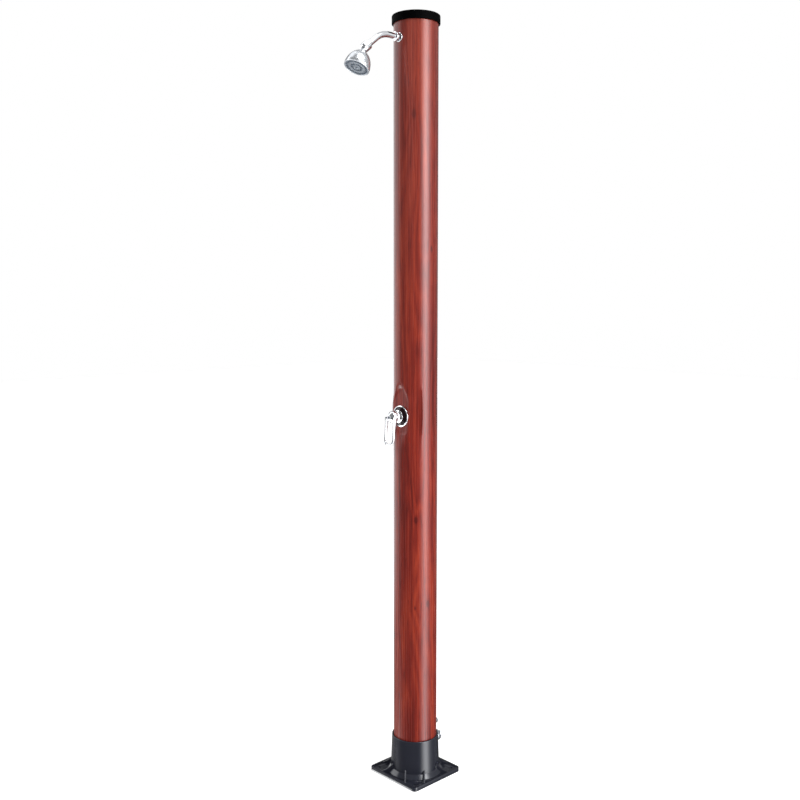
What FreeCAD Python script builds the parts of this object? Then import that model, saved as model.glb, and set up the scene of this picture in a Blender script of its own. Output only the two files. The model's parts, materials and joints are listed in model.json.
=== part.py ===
import FreeCAD, Part
import math
import os

import Sketcher
from FreeCAD import Placement, Rotation, Vector

# An outdoor shower post: a water-filled upright tube on a square ribbed foot, with a loop-lever
# mixer on its front, a bent shower arm with a swivelling spray head, and a hose inlet behind.
# Origin: centre of the foot's underside. +Z up, the arm and the mixer point along -Y.

DOC = FreeCAD.newDocument("shower_post")
SHEET = DOC.addObject("Spreadsheet::Sheet", "Sheet")
PIECES = []


# ---------------------------------------------------------------- sizes

class Size:
    """A length or angle: its number, and the sheet expression that yields it."""

    def __init__(self, number, text):
        self.number = number
        self.text = text

    def __float__(self):
        return float(self.number)

    def __add__(self, other):
        other = as_size(other)
        return Size(self.number + other.number, f"({self.text} + {other.text})")

    def __sub__(self, other):
        other = as_size(other)
        return Size(self.number - other.number, f"({self.text} - {other.text})")

    def __mul__(self, other):
        other = as_size(other)
        return Size(self.number * other.number, f"({self.text} * {other.text})")

    def __truediv__(self, other):
        other = as_size(other)
        return Size(self.number / other.number, f"({self.text} / {other.text})")

    def __neg__(self):
        return Size(-self.number, f"(-{self.text})")

    def root(self):
        """Its square root."""
        return Size(math.sqrt(self.number), f"sqrt({self.text})")

    def sine(self):
        """The sine of an angle in degrees."""
        return Size(math.sin(math.radians(self.number)), f"sin({self.text} * 1 deg)")

    def cosine(self):
        """The cosine of an angle in degrees."""
        return Size(math.cos(math.radians(self.number)), f"cos({self.text} * 1 deg)")


def as_size(value):
    """Wrap a plain number as a size; a size stays as it is."""
    return value if isinstance(value, Size) else Size(value, repr(value))


ZERO = Size(0, "0")


def cell(alias, number, note):
    """Write one driving dimension into the sheet and return it."""
    row = cell.row
    cell.row += 1
    SHEET.set(f"A{row}", note)
    SHEET.set(f"B{row}", str(number))
    SHEET.setAlias(f"B{row}", alias)
    return Size(number, f"Sheet.{alias}")


cell.row = 1

# Clearances
slip_gap = cell("slip_gap", 0.3, "gap between separate pieces that only slide over each other")
bore_gap = cell("bore_gap", 0.1, "radial gap of a plug or pipe in its bore")
run_gap = cell("run_gap", 0.05, "radial gap of a pin or stem that turns in its bore")

# Foot
plate_side = cell("plate_side", 190, "side of the square foot plate")
plate_corner = cell("plate_corner", 12, "corner radius of the foot plate")
plate_thickness = cell("plate_thickness", 8, "thickness of the foot plate")
lip_height = cell("lip_height", 3, "height of the lip around the foot plate")
lip_width = cell("lip_width", 5, "width of the lip around the foot plate")
anchor_pitch = cell("anchor_pitch", 150, "spacing of the four anchor holes")
anchor_bore = cell("anchor_bore", 10, "diameter of an anchor hole")
collar_top_od = cell("collar_top_od", 135.6, "outer diameter of the collar at its rim")
collar_foot_od = cell("collar_foot_od", 142, "outer diameter of the collar at its foot")
collar_height = cell("collar_height", 116, "height of the collar rim above the ground")
flare_od = cell("flare_od", 162, "outer diameter of the flared ring under the collar")
flare_height = cell("flare_height", 13, "height of the flared ring above the plate")
rib_offset = cell("rib_offset", 27.6, "distance of a rib's middle from the plate's diagonal")
rib_thickness = cell("rib_thickness", 4.5, "thickness of a rib")
rib_reach = cell("rib_reach", 98, "distance of a rib's outer end from the post axis")
rib_height = cell("rib_height", 26, "height of a rib above the plate, at the collar")
rib_knee = cell("rib_knee", 9, "height of a rib above the plate, at its knee")
rib_knee_reach = cell("rib_knee_reach", 82, "distance of a rib's knee from the post axis")

# Post tube
tube_od = cell("tube_od", 125, "outer diameter of the post tube")
tube_wall = cell("tube_wall", 4, "wall thickness of the post tube")
tube_length = cell("tube_length", 2158, "length of the post tube")
cap_od = cell("cap_od", 135, "outer diameter of the top cap")
cap_height = cell("cap_height", 23, "height of the top cap")
cap_roof = cell("cap_roof", 4, "thickness of the top cap's roof")
cap_edge = cell("cap_edge", 3.5, "radius of the top cap's upper edge")

# Pressed seat of the mixer
seat_face = cell("seat_face", 56, "distance of the pressed seat from the post axis")
seat_half_height = cell("seat_half_height", 62, "half height of the pressed seat")
seat_half_width = cell("seat_half_width", 35, "half width of the pressed seat")
seat_flank = cell("seat_flank", 16, "how far the seat's flank spreads as it meets the tube")
seat_depth = cell("seat_depth", 14, "depth over which the seat's flank spreads")
seat_ramp = cell("seat_ramp", 2.6, "length of the seat's end ramp for each unit of depth")
seat_lift = cell("seat_lift", 14, "height of the seat's middle above the mixer axis")

# Plugs that close the tube
plug_disc = cell("plug_disc", 10, "thickness of a plug's disc")
plug_skirt = cell("plug_skirt", 26, "full height of a plug")
plug_skirt_wall = cell("plug_skirt_wall", 7, "wall of a plug's skirt")
ring_cord = cell("ring_cord", 2.6, "thickness of a plug's sealing ring")
ring_height = cell("ring_height", 18, "height of the sealing ring within a plug")
top_plug_depth = cell("top_plug_depth", 8, "depth of the top plug below the tube's top")
foot_screw_circle = cell("foot_screw_circle", 84, "circle diameter of the four screws under the foot")
foot_screw_od = cell("foot_screw_od", 5, "diameter of a screw under the foot")
foot_screw_head = cell("foot_screw_head", 9.6, "head diameter of a screw under the foot")
foot_screw_length = cell("foot_screw_length", 15, "length of a screw under the foot")
foot_screw_sink = cell("foot_screw_sink", 0.5, "how far a screw head lies above the underside")

# Hose inlet and drain, behind
inlet_height = cell("inlet_height", 80, "height of the hose inlet")
inlet_thread_od = cell("inlet_thread_od", 20.8, "outer diameter of the inlet thread")
inlet_bore = cell("inlet_bore", 14, "waterway through the inlet")
inlet_pad_od = cell("inlet_pad_od", 38, "diameter of the flat pad around the inlet")
inlet_pad_face = cell("inlet_pad_face", 74, "distance of the pad's face from the post axis")
inlet_hex_flats = cell("inlet_hex_flats", 28, "width across the flats of the inlet's hexagon")
inlet_hex_thickness = cell("inlet_hex_thickness", 7, "thickness of the inlet's hexagon")
inlet_reach = cell("inlet_reach", 91, "distance of the inlet's threaded end from the post axis")
washer_thickness = cell("washer_thickness", 2, "thickness of a flat rubber washer")
coupling_od = cell("coupling_od", 31, "grip diameter of the hose coupling")
coupling_length = cell("coupling_length", 12, "length of the coupling's grip")
spigot_od = cell("spigot_od", 17, "diameter of the coupling's hose spigot")
spigot_reach = cell("spigot_reach", 108, "distance of the spigot's end from the post axis")
backnut_flats = cell("backnut_flats", 27, "width across the flats of a back nut")
backnut_face = cell("backnut_face", 53.5, "distance of a back nut's outer face from the post axis")
backnut_thickness = cell("backnut_thickness", 7, "thickness of a back nut")
saddle_od = cell("saddle_od", 26, "diameter of a saddle washer inside the tube")
thread_end = cell("thread_end", 38, "distance of a wall thread's inner end from the post axis")
drain_height = cell("drain_height", 128, "height of the drain plug")
drain_thread_od = cell("drain_thread_od", 9.8, "outer diameter of the drain plug's thread")
drain_flange_od = cell("drain_flange_od", 18, "outer diameter of the drain bushing")
drain_bush_reach = cell("drain_bush_reach", 72, "distance of the drain bushing's face from the axis")
drain_knob_od = cell("drain_knob_od", 16, "diameter of the drain plug's knob")
drain_reach = cell("drain_reach", 90, "distance of the drain plug's end from the post axis")
drain_stem_end = cell("drain_stem_end", 50, "distance of the drain plug's inner end from the axis")

# Pipes and fittings inside the tube
pipe_od = cell("pipe_od", 14, "outer diameter of an inner pipe")
pipe_bore = cell("pipe_bore", 10, "bore of an inner pipe")
pipe_plane = cell("pipe_plane", 22, "distance of the mixer's pipes in front of the post axis")
socket_od = cell("socket_od", 20, "outer diameter of a pipe socket")
socket_depth = cell("socket_depth", 10, "depth of a pipe socket")
elbow_arm = cell("elbow_arm", 22, "length of an elbow's arm from its centre")
tee_rise = cell("tee_rise", 20, "distance of the tee's riser behind the post axis")
valve_od = cell("valve_od", 24, "outer diameter of the check valve")
valve_length = cell("valve_length", 34, "length of the check valve")
valve_seat_bore = cell("valve_seat_bore", 11, "bore of the check valve's seat")
poppet_od = cell("poppet_od", 15, "diameter of the check valve's poppet")
poppet_guide_od = cell("poppet_guide_od", 5, "diameter of the poppet's guide stem")
poppet_travel = cell("poppet_travel", 5, "travel of the check valve's poppet")
hot_offset = cell("hot_offset", 17, "sideways distance of the hot pipe from the post axis")
hot_pipe_drop = cell("hot_pipe_drop", 37, "distance of the hot pipe's open end below the arm")

# Mixer, on the front; distances are from the post axis
mixer_height = cell("mixer_height", 1062, "height of the mixer axis")
mixer_body_od = cell("mixer_body_od", 44, "outer diameter of the mixer body")
mixer_back = cell("mixer_back", 8, "distance of the mixer body's back")
mixer_neck_od = cell("mixer_neck_od", 34, "outer diameter of the mixer's neck")
mixer_neck_face = cell("mixer_neck_face", 63, "distance of the neck's face")
gasket_thickness = cell("gasket_thickness", 2.5, "thickness of a mixer gasket")
gasket_od = cell("gasket_od", 50, "outer diameter of a mixer gasket")
clamp_nut_od = cell("clamp_nut_od", 44, "outer diameter of the nut on the mixer's neck")
clamp_nut_thickness = cell("clamp_nut_thickness", 4, "thickness of the nut on the mixer's neck")
cartridge_od = cell("cartridge_od", 27.8, "outer diameter of the cartridge")
cartridge_back = cell("cartridge_back", 25, "distance of the cartridge's back")
cartridge_face = cell("cartridge_face", 54, "distance of the cartridge's face")
stem_od = cell("stem_od", 14, "diameter of the turning stem")
stem_back = cell("stem_back", 40, "distance of the stem's back end")
retainer_thickness = cell("retainer_thickness", 6, "thickness of the ring nut that holds the cartridge")
rosette_od = cell("rosette_od", 60, "outer diameter of the rosette")
rosette_rim = cell("rosette_rim", 4, "height of the rosette's rim")
rosette_wall = cell("rosette_wall", 1.4, "wall of the rosette")
rosette_crown = cell("rosette_crown", 68, "distance of the rosette's crown")
hub_od = cell("hub_od", 23, "outer diameter of the hub")
hub_back = cell("hub_back", 60.5, "distance of the hub's back end")
hub_flare_od = cell("hub_flare_od", 36, "diameter of the hub's flare on the rosette")
hub_flare_edge = cell("hub_flare_edge", 1.3, "thickness of the flare at its edge")
hub_flare_length = cell("hub_flare_length", 8.5, "length of the hub's flare")
hub_flare_curve = cell("hub_flare_curve", 12, "radius of the flare's hollow side")
pivot_reach = cell("pivot_reach", 88, "distance of the lever's pivot")
hub_ball_od = cell("hub_ball_od", 30.4, "diameter of the ball at the hub's end")
hub_ball_face = cell("hub_ball_face", 4, "how far the hub's ball reaches past the pivot")
hood_wall = cell("hood_wall", 1.8, "wall of the lever's hood")
hood_skirt = cell("hood_skirt", 4, "how far the hood's skirt reaches behind the pivot")
hood_roof = cell("hood_roof", 13, "distance of the hood's inner roof past the pivot")
hood_face = cell("hood_face", 16.5, "distance of the hood's flat face past the pivot")
spindle_od = cell("spindle_od", 6.8, "diameter of the lever's spindle")
tongue_width = cell("tongue_width", 4.8, "width of the spindle's tongue")
tongue_depth = cell("tongue_depth", 8, "depth of the spindle's tongue")
tongue_tail = cell("tongue_tail", 7, "how far the tongue reaches behind the pivot")
pivot_pin_od = cell("pivot_pin_od", 3, "diameter of the pivot pin")
lever_screw_od = cell("lever_screw_od", 4, "diameter of the lever's screw")
lever_screw_head = cell("lever_screw_head", 6, "head diameter of the lever's screw")
lever_button_od = cell("lever_button_od", 7.6, "diameter of the button in the lever's face")
loop_pitch = cell("loop_pitch", 33, "distance between the middles of the loop's two strands")
loop_strand = cell("loop_strand", 7, "thickness of a strand of the loop")
loop_drop = cell("loop_drop", 79, "distance of the loop's lowest middle below the pivot")
loop_lean = cell("loop_lean", 7, "angle by which the loop leans away from the post")
loop_root = cell("loop_root", 8, "distance of the loop's plane in front of the pivot")
cheek_thickness = cell("cheek_thickness", 5, "thickness of a cheek between the hood and a strand")
cheek_top = cell("cheek_top", 2, "distance of a cheek's upper end below the pivot")
cheek_drop = cell("cheek_drop", 52, "distance of a cheek's lower end below the pivot")
cheek_curve = cell("cheek_curve", 90, "radius of a cheek's hollow back edge")
cheek_inset = cell("cheek_inset", 0.4, "how far a cheek's lower end lies within its strand")
cheek_front = cell("cheek_front", 1.5, "how far a cheek's upper end stands before its strand")

# Shower arm and head
arm_drop = cell("arm_drop", 64, "distance of the arm's level part below the tube's top")
arm_od = cell("arm_od", 16, "outer diameter of the arm")
arm_bore = cell("arm_bore", 12, "bore of the arm")
arm_droop = cell("arm_droop", 38, "angle of the arm's end below level")
arm_bend = cell("arm_bend", 76, "bend radius of the arm")
arm_corner = cell("arm_corner", 128, "distance of the arm's corner from the post axis")
arm_back = cell("arm_back", 77, "distance of the arm's inner end from the post axis")
arm_end = cell("arm_end", 61, "distance along the arm from its corner to its fitting")
wall_thread_od = cell("wall_thread_od", 20.8, "outer diameter of the arm's wall thread")
arm_flange_od = cell("arm_flange_od", 25, "outer diameter of the arm's flange")
arm_flange_face = cell("arm_flange_face", 67, "distance of the flange's face from the post axis")
union_nut_od = cell("union_nut_od", 24.6, "outer diameter of the arm's union nut")
union_nut_length = cell("union_nut_length", 8, "length of the arm's union nut")
ball_od = cell("ball_od", 20, "diameter of the swivel ball")
ball_neck_od = cell("ball_neck_od", 9, "diameter of the neck below the ball")
ball_bore = cell("ball_bore", 5.5, "waterway through the ball")
ball_from_corner = cell("ball_from_corner", 82, "distance along the arm from its corner to the ball")
liner_wall = cell("liner_wall", 0.8, "wall of the liner around the ball")
liner_front = cell("liner_front", 2.5, "how far the liner reaches past the ball's middle")
liner_back = cell("liner_back", 3.5, "how far the liner reaches behind the ball's middle")
swivel_nut_od = cell("swivel_nut_od", 26, "outer diameter of the swivel nut")
swivel_nut_lip = cell("swivel_nut_lip", 4.4, "distance of the nut's lip past the ball's middle")
swivel_nut_back = cell("swivel_nut_back", 19, "distance of the nut's back behind the ball's middle")
fitting_od = cell("fitting_od", 20, "outer diameter of the fitting at the arm's end")
fitting_face = cell("fitting_face", 10.5, "distance of that fitting's face behind the ball's middle")
head_droop = cell("head_droop", 64, "angle of the spray head's axis below level")
bell_top = cell("bell_top", 11.5, "distance of the bell's top from the ball's middle")
bell_height = cell("bell_height", 49.5, "height of the bell")
bell_top_od = cell("bell_top_od", 23, "outer diameter of the bell's top")
bell_od = cell("bell_od", 70, "outer diameter of the bell's mouth")
bell_wall = cell("bell_wall", 2.2, "wall of the bell")
bell_band = cell("bell_band", 8, "height of the bell's straight band at its mouth")
bell_shoulder = cell("bell_shoulder", 50, "radius of the bell's rounded shoulder")
face_recess = cell("face_recess", 1.0, "how far the spray face lies within the bell's mouth")
face_thickness = cell("face_thickness", 3, "thickness of the spray face")
nozzle_od = cell("nozzle_od", 2.6, "diameter of a spray nozzle")
nozzle_length = cell("nozzle_length", 4.6, "length of a spray nozzle")
nozzle_ring_step = cell("nozzle_ring_step", 6.7, "radial distance between rings of nozzles")
nozzle_rings = 4
nozzles_in_first_ring = 6
mat_thickness = cell("mat_thickness", 1.2, "thickness of the mat that carries the nozzles")

DOC.recompute()

# ---------------------------------------------------------------- derived sizes

tube_r = tube_od / 2
bore_r = tube_r - tube_wall
tube_foot = plate_thickness
tube_top = tube_foot + tube_length
top_plug_height = tube_top - top_plug_depth - plug_skirt
arm_height = tube_top - arm_drop
hot_pipe_top = arm_height - hot_pipe_drop
post_height = tube_top + cap_roof
cap_foot = post_height - cap_height
socket_r = tube_r + slip_gap
plug_r = bore_r - bore_gap
seat_back = seat_face - tube_wall
flange_clear = tube_r + slip_gap
hub_ball_r = hub_ball_od / 2
hood_inner_r = hub_ball_r + slip_gap
hood_outer_r = hood_inner_r + hood_wall
ball_r = ball_od / 2
liner_inner_r = ball_r + run_gap
liner_outer_r = liner_inner_r + liner_wall
nut_cavity_r = liner_outer_r + run_gap
nut_bevel = Size(1.5, "1.5")
fine_bevel = Size(1.2, "1.2")

# Turns that lay a piece's own +Z along the front (-Y), the back (+Y) or the side (+X)
UPRIGHT = (Vector(0, 0, 1), ZERO)
TO_FRONT = (Vector(1, 0, 0), Size(90, "90"))
TO_BACK = (Vector(1, 0, 0), Size(-90, "-90"))
TO_SIDE = (Vector(0, 1, 0), Size(90, "90"))
DOWN = (Vector(1, 0, 0), Size(180, "180"))
ALONG_ARM = (Vector(1, 0, 0), arm_droop + 90)
ALONG_HEAD = (Vector(1, 0, 0), head_droop + 90)
# Turn that lays an ellipse's long axis along Z and its short axis along X
SEAT_PLANE = (Vector(1, 1, 1), Size(240, "240"))

ball_centre = (
    ZERO,
    -(arm_corner + ball_from_corner * arm_droop.cosine()),
    arm_height - ball_from_corner * arm_droop.sine(),
)


# ---------------------------------------------------------------- helpers

def bind(thing, **sizes):
    """Set properties of an object and tie them to the sheet."""
    for name, value in sizes.items():
        setattr(thing, name, float(value))
        thing.setExpression(name, value.text)


def place(thing, base=(ZERO, ZERO, ZERO), turn=UPRIGHT):
    """Place an object, with its position and turn tied to the sheet."""
    axis, angle = turn
    thing.Placement = Placement(Vector(*[float(part) for part in base]), Rotation(axis, float(angle)))
    for letter, part in zip("xyz", base):
        if part is not ZERO:
            thing.setExpression(f"Placement.Base.{letter}", part.text)
    if turn in (ALONG_ARM, ALONG_HEAD):
        thing.setExpression("Placement.Rotation.Angle", angle.text)
    return thing


def keep(thing, label):
    """Name a finished sub-part and add it to the list of pieces."""
    thing.Label = label
    PIECES.append(thing)
    return thing


def rod(radius, length, base=(ZERO, ZERO, ZERO), turn=UPRIGHT):
    """A cylinder from its base along its turned Z."""
    thing = DOC.addObject("Part::Cylinder", "rod")
    bind(thing, Radius=radius, Height=length)
    return place(thing, base, turn)


def rod_between(radius, start, end):
    """A cylinder about Z from one height to another."""
    return rod(radius, end - start, (ZERO, ZERO, start))


def sphere(radius, base=(ZERO, ZERO, ZERO)):
    """A ball about a point."""
    thing = DOC.addObject("Part::Sphere", "ball")
    bind(thing, Radius=radius)
    return place(thing, base)


def block(width, depth, height, base=(ZERO, ZERO, ZERO)):
    """A box centred on X and Y, standing on its base height."""
    thing = DOC.addObject("Part::Box", "block")
    bind(thing, Length=width, Width=depth, Height=height)
    x, y, z = base
    return place(thing, (x - width / 2, y - depth / 2, z))


def hexagon(flats, length, base=(ZERO, ZERO, ZERO)):
    """A hexagonal bar about Z."""
    thing = DOC.addObject("Part::Prism", "hexagon")
    thing.Polygon = 6
    bind(thing, Circumradius=flats / math.sqrt(3), Height=length)
    return place(thing, base)


def fuse(*things):
    """Join solids into one."""
    joined = DOC.addObject("Part::MultiFuse", "joined")
    joined.Shapes = list(things)
    return joined


def cut(base, *tools):
    """Take one or more tools away from a solid."""
    removed = DOC.addObject("Part::Cut", "cut")
    removed.Base = base
    removed.Tool = tools[0] if len(tools) == 1 else fuse(*tools)
    return removed


def common(first, second):
    """Keep what two solids share."""
    shared = DOC.addObject("Part::MultiCommon", "shared")
    shared.Shapes = [first, second]
    return shared


def origin_feature(body, role):
    """One of a body's own planes or axes, found by its role."""
    return next(item for item in body.Origin.OriginFeatures if item.Role == role)


def sketch_on(body, role, name, offset=None):
    """An empty sketch on one of a body's own origin planes."""
    sketch = body.newObject("Sketcher::SketchObject", name)
    sketch.AttachmentSupport = (origin_feature(body, role), [""])
    sketch.MapMode = "FlatFace"
    if offset is not None:
        sketch.AttachmentOffset = offset
    return sketch


def fix_point(sketch, geometry, point, x, y):
    """Tie a sketch point to sheet-driven coordinates."""
    if x is ZERO:
        sketch.addConstraint(Sketcher.Constraint("PointOnObject", geometry, point, -2))
    else:
        index = sketch.addConstraint(
            Sketcher.Constraint("DistanceX", -1, 1, geometry, point, float(x)))
        sketch.setExpression(f"Constraints[{index}]", x.text)
    if y is ZERO:
        sketch.addConstraint(Sketcher.Constraint("PointOnObject", geometry, point, -1))
    else:
        index = sketch.addConstraint(
            Sketcher.Constraint("DistanceY", -1, 1, geometry, point, float(y)))
        sketch.setExpression(f"Constraints[{index}]", y.text)


def short_arc(start, end, radius, side):
    """The short arc between two points, bulging to the left (1) or right (-1) of the way."""
    chord = end - start
    rise = math.sqrt(max(radius * radius - chord.Length ** 2 / 4, 0.0))
    across = Vector(-chord.y, chord.x, 0).normalize()
    centre = (start + end) * 0.5 - across * (rise * side)
    first, last = (end, start) if side > 0 else (start, end)
    angles = [math.atan2(point.y - centre.y, point.x - centre.x) for point in (first, last)]
    if angles[1] < angles[0]:
        angles[1] += 2 * math.pi
    return Part.ArcOfCircle(Part.Circle(centre, Vector(0, 0, 1), radius), *angles)


def outline(sketch, corners, closed=True):
    """Draw lines and arcs through sheet-driven corners.

    A corner is (x, y), or (x, y, radius, side) where the edge to the next corner is an arc.
    """
    points = [Vector(float(corner[0]), float(corner[1]), 0) for corner in corners]
    count = len(corners) if closed else len(corners) - 1
    ends = []
    for index in range(count):
        start = points[index]
        end = points[(index + 1) % len(points)]
        if len(corners[index]) == 2:
            edge = sketch.addGeometry(Part.LineSegment(start, end))
            ends.append((edge, 1, 2))
            continue
        radius, side = corners[index][2:]
        edge = sketch.addGeometry(short_arc(start, end, float(radius), side))
        ends.append((edge, 2, 1) if side > 0 else (edge, 1, 2))
        number = sketch.addConstraint(Sketcher.Constraint("Radius", edge, float(radius)))
        sketch.setExpression(f"Constraints[{number}]", radius.text)
    for index in range(count - 1 if not closed else count):
        edge, _, tail = ends[index]
        follower, head, _ = ends[(index + 1) % count]
        sketch.addConstraint(Sketcher.Constraint("Coincident", edge, tail, follower, head))
    for index in range(count):
        edge, head, _ = ends[index]
        fix_point(sketch, edge, head, corners[index][0], corners[index][1])
    if not closed:
        edge, _, tail = ends[-1]
        fix_point(sketch, edge, tail, corners[-1][0], corners[-1][1])
    return sketch


def circle(sketch, x, y, radius):
    """Draw a circle with its centre and radius tied to the sheet."""
    edge = sketch.addGeometry(
        Part.Circle(Vector(float(x), float(y), 0), Vector(0, 0, 1), float(radius)))
    fix_point(sketch, edge, 3, x, y)
    number = sketch.addConstraint(Sketcher.Constraint("Radius", edge, float(radius)))
    sketch.setExpression(f"Constraints[{number}]", radius.text)


def pad(body, sketch, length, name):
    """Extrude a sketch along its normal."""
    feature = body.newObject("PartDesign::Pad", name)
    feature.Profile = sketch
    bind(feature, Length=length)
    return feature


def pocket_through(body, sketch, name, both_ways=False):
    """Cut a sketch through the body, against the sketch's normal or both ways."""
    feature = body.newObject("PartDesign::Pocket", name)
    feature.Profile = sketch
    feature.Type = "ThroughAll"
    feature.Midplane = both_ways
    return feature


def revolve(body, sketch, name, kind="Revolution"):
    """Sweep a half section about its sketch's upright axis, to add or to take away."""
    feature = body.newObject(f"PartDesign::{kind}", name)
    feature.Profile = sketch
    feature.ReferenceAxis = (sketch, ["V_Axis"])
    feature.Angle = 360
    return feature


def turned(label, corners, base=(ZERO, ZERO, ZERO), turn=UPRIGHT, grooves=()):
    """A turned piece: its half section (radius, height) swept about its own Z."""
    body = DOC.addObject("PartDesign::Body", label)
    revolve(body, outline(sketch_on(body, "XZ_Plane", "HalfSection"), corners), "Turned")
    for groove in grooves:
        revolve(body, outline(sketch_on(body, "XZ_Plane", "GrooveSection"), groove), "Groove", "Groove")
    place(body, base, turn)
    return keep(body, label)


def turned_blank(corners):
    """A turned shape that is a step on the way to a piece."""
    body = DOC.addObject("PartDesign::Body", "blank")
    revolve(body, outline(sketch_on(body, "XZ_Plane", "HalfSection"), corners), "Turned")
    return body


def set_shape(label, shape, base, turn):
    """A piece whose shape is made directly, then placed."""
    piece = DOC.addObject("Part::Feature", label)
    piece.Shape = shape
    place(piece, base, turn)
    return keep(piece, label)


def tube_outline(inner, outer, start, end):
    """Half section of a tube between two heights."""
    return [(inner, start), (outer, start), (outer, end), (inner, end)]


def disc_outline(outer, start, end):
    """Half section of a disc between two heights."""
    return [(ZERO, start), (outer, start), (outer, end), (ZERO, end)]


def sealing_ring(label, middle, cord, height, base=(ZERO, ZERO, ZERO), turn=UPRIGHT):
    """A round rubber ring."""
    ring = DOC.addObject("Part::Torus", label)
    bind(ring, Radius1=middle, Radius2=cord / 2)
    across, along, up = base
    if turn is TO_FRONT:
        place(ring, (across, along - height, up), turn)
    else:
        place(ring, (across, along, up + height), turn)
    return keep(ring, label)


def copies(label, prototype, spots):
    """One node of several like solids, each a copy of a prototype at its own spot."""
    group = DOC.addObject("Part::Feature", label)
    DOC.recompute()
    solids = [prototype.Shape.transformed(spot.toMatrix(), True) for spot in spots]
    group.Shape = Part.makeCompound(solids)
    group.Placement = Placement()
    return keep(group, label)


def saddle_washer(label, bore, outer, flat, wall, height, turn):
    """A washer that is flat on one side and follows the tube's inner wall on the other."""
    blank = rod(outer, tube_r - flat, (ZERO, ZERO, flat))
    hole = rod(bore, tube_r, (ZERO, ZERO, ZERO))
    inside = rod(wall, saddle_od * 2, (ZERO, -saddle_od, ZERO), (Vector(1, 0, 0), Size(-90, "-90")))
    washer = common(cut(blank, hole), inside)
    place(washer, (ZERO, ZERO, height), turn)
    return keep(washer, label)


# ---------------------------------------------------------------- foot

def rounded_square(sketch, half, corner):
    """A square about the origin with round corners."""
    flat = half - corner
    corners = []
    for turn in range(4):
        sx, sy = ((1, -1), (1, 1), (-1, 1), (-1, -1))[turn]
        first = (flat * sx, half * sy) if turn in (0, 2) else (half * sx, flat * sy)
        last = (half * sx, flat * sy) if turn in (0, 2) else (flat * sx, half * sy)
        corners.append((first[0], first[1], corner, -1))
        corners.append(last)
    return outline(sketch, corners)


def build_base_flange():
    """Square plate with a lip, a flared and tapered collar, eight ribs and four anchor holes."""
    body = DOC.addObject("PartDesign::Body", "base_flange")
    half = plate_side / 2
    pad(body, rounded_square(sketch_on(body, "XY_Plane", "PlateOutline"), half, plate_corner),
        plate_thickness, "Plate")
    lip = sketch_on(body, "XY_Plane", "LipOutline")
    rounded_square(lip, half, plate_corner)
    rounded_square(lip, half - lip_width, plate_corner - lip_width)
    pad(body, lip, plate_thickness + lip_height, "Lip")

    flare_top = plate_thickness + flare_height
    collar = [
        (socket_r, plate_thickness / 2),
        (flare_od / 2, plate_thickness / 2),
        (flare_od / 2, plate_thickness + 1),
        (collar_foot_od / 2, flare_top),
        (collar_top_od / 2, collar_height - fine_bevel),
        (collar_top_od / 2 - fine_bevel, collar_height),
        (socket_r, collar_height),
    ]
    revolve(body, outline(sketch_on(body, "XZ_Plane", "CollarSection"), collar), "Collar")

    ribs = []
    root = (collar_foot_od / 2 - 3) * (collar_foot_od / 2 - 3) - rib_offset * rib_offset
    for side in (-1, 1):
        shift = rib_offset * side - rib_thickness / 2
        turn = Rotation(Vector(0, 1, 0), 45)
        section = sketch_on(body, "XZ_Plane", "RibSection",
                            Placement(turn.multVec(Vector(0, 0, float(shift))), turn))
        diagonal = shift * math.sqrt(0.5)
        section.setExpression("AttachmentOffset.Base.x", diagonal.text)
        section.setExpression("AttachmentOffset.Base.z", diagonal.text)
        outline(section, [
            (root.root(), plate_thickness / 2),
            (rib_reach, plate_thickness / 2),
            (rib_reach, plate_thickness + 2),
            (rib_knee_reach, plate_thickness + rib_knee),
            (root.root(), plate_thickness + rib_height),
        ])
        ribs.append(pad(body, section, rib_thickness, "Rib"))
    pattern = body.newObject("PartDesign::PolarPattern", "Ribs")
    pattern.Originals = ribs
    pattern.Axis = (origin_feature(body, "Z_Axis"), [""])
    pattern.Angle = 360
    pattern.Occurrences = 4
    body.Tip = pattern

    boss = sketch_on(body, "XZ_Plane", "InletPadOutline")
    circle(boss, ZERO, inlet_height, inlet_pad_od / 2)
    boss_pad = pad(body, boss, inlet_pad_face, "InletPad")
    boss_pad.Reversed = True

    socket = disc_outline(socket_r, plate_thickness, collar_height + 1)
    revolve(body, outline(sketch_on(body, "XZ_Plane", "SocketSection"), socket), "Socket", "Groove")

    anchors = sketch_on(body, "XY_Plane", "AnchorHoles")
    for sx in (-1, 1):
        for sy in (-1, 1):
            circle(anchors, anchor_pitch / 2 * sx, anchor_pitch / 2 * sy, anchor_bore / 2)
    pocket_through(body, anchors, "Anchors", both_ways=True)

    screws = sketch_on(body, "XY_Plane", "ScrewHoles")
    for sx, sy in ((1, 0), (0, 1), (-1, 0), (0, -1)):
        x = foot_screw_circle / 2 * sx if sx else ZERO
        y = foot_screw_circle / 2 * sy if sy else ZERO
        circle(screws, x, y, foot_screw_od / 2 + bore_gap)
    pocket_through(body, screws, "Screws", both_ways=True)
    sinks = sketch_on(body, "XY_Plane", "ScrewSinks")
    for sx, sy in ((1, 0), (0, 1), (-1, 0), (0, -1)):
        x = foot_screw_circle / 2 * sx if sx else ZERO
        y = foot_screw_circle / 2 * sy if sy else ZERO
        circle(sinks, x, y, foot_screw_head / 2 + bore_gap)
    sink = body.newObject("PartDesign::Pocket", "Sinks")
    sink.Profile = sinks
    sink.Reversed = True
    bind(sink, Length=foot_screw_sink + 3)

    hole = sketch_on(body, "XZ_Plane", "InletHole")
    circle(hole, ZERO, inlet_height, inlet_thread_od / 2 + slip_gap)
    inlet = body.newObject("PartDesign::Pocket", "InletBore")
    inlet.Profile = hole
    bind(inlet, Length=inlet_pad_face + 5)
    return keep(body, "base_flange")


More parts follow.
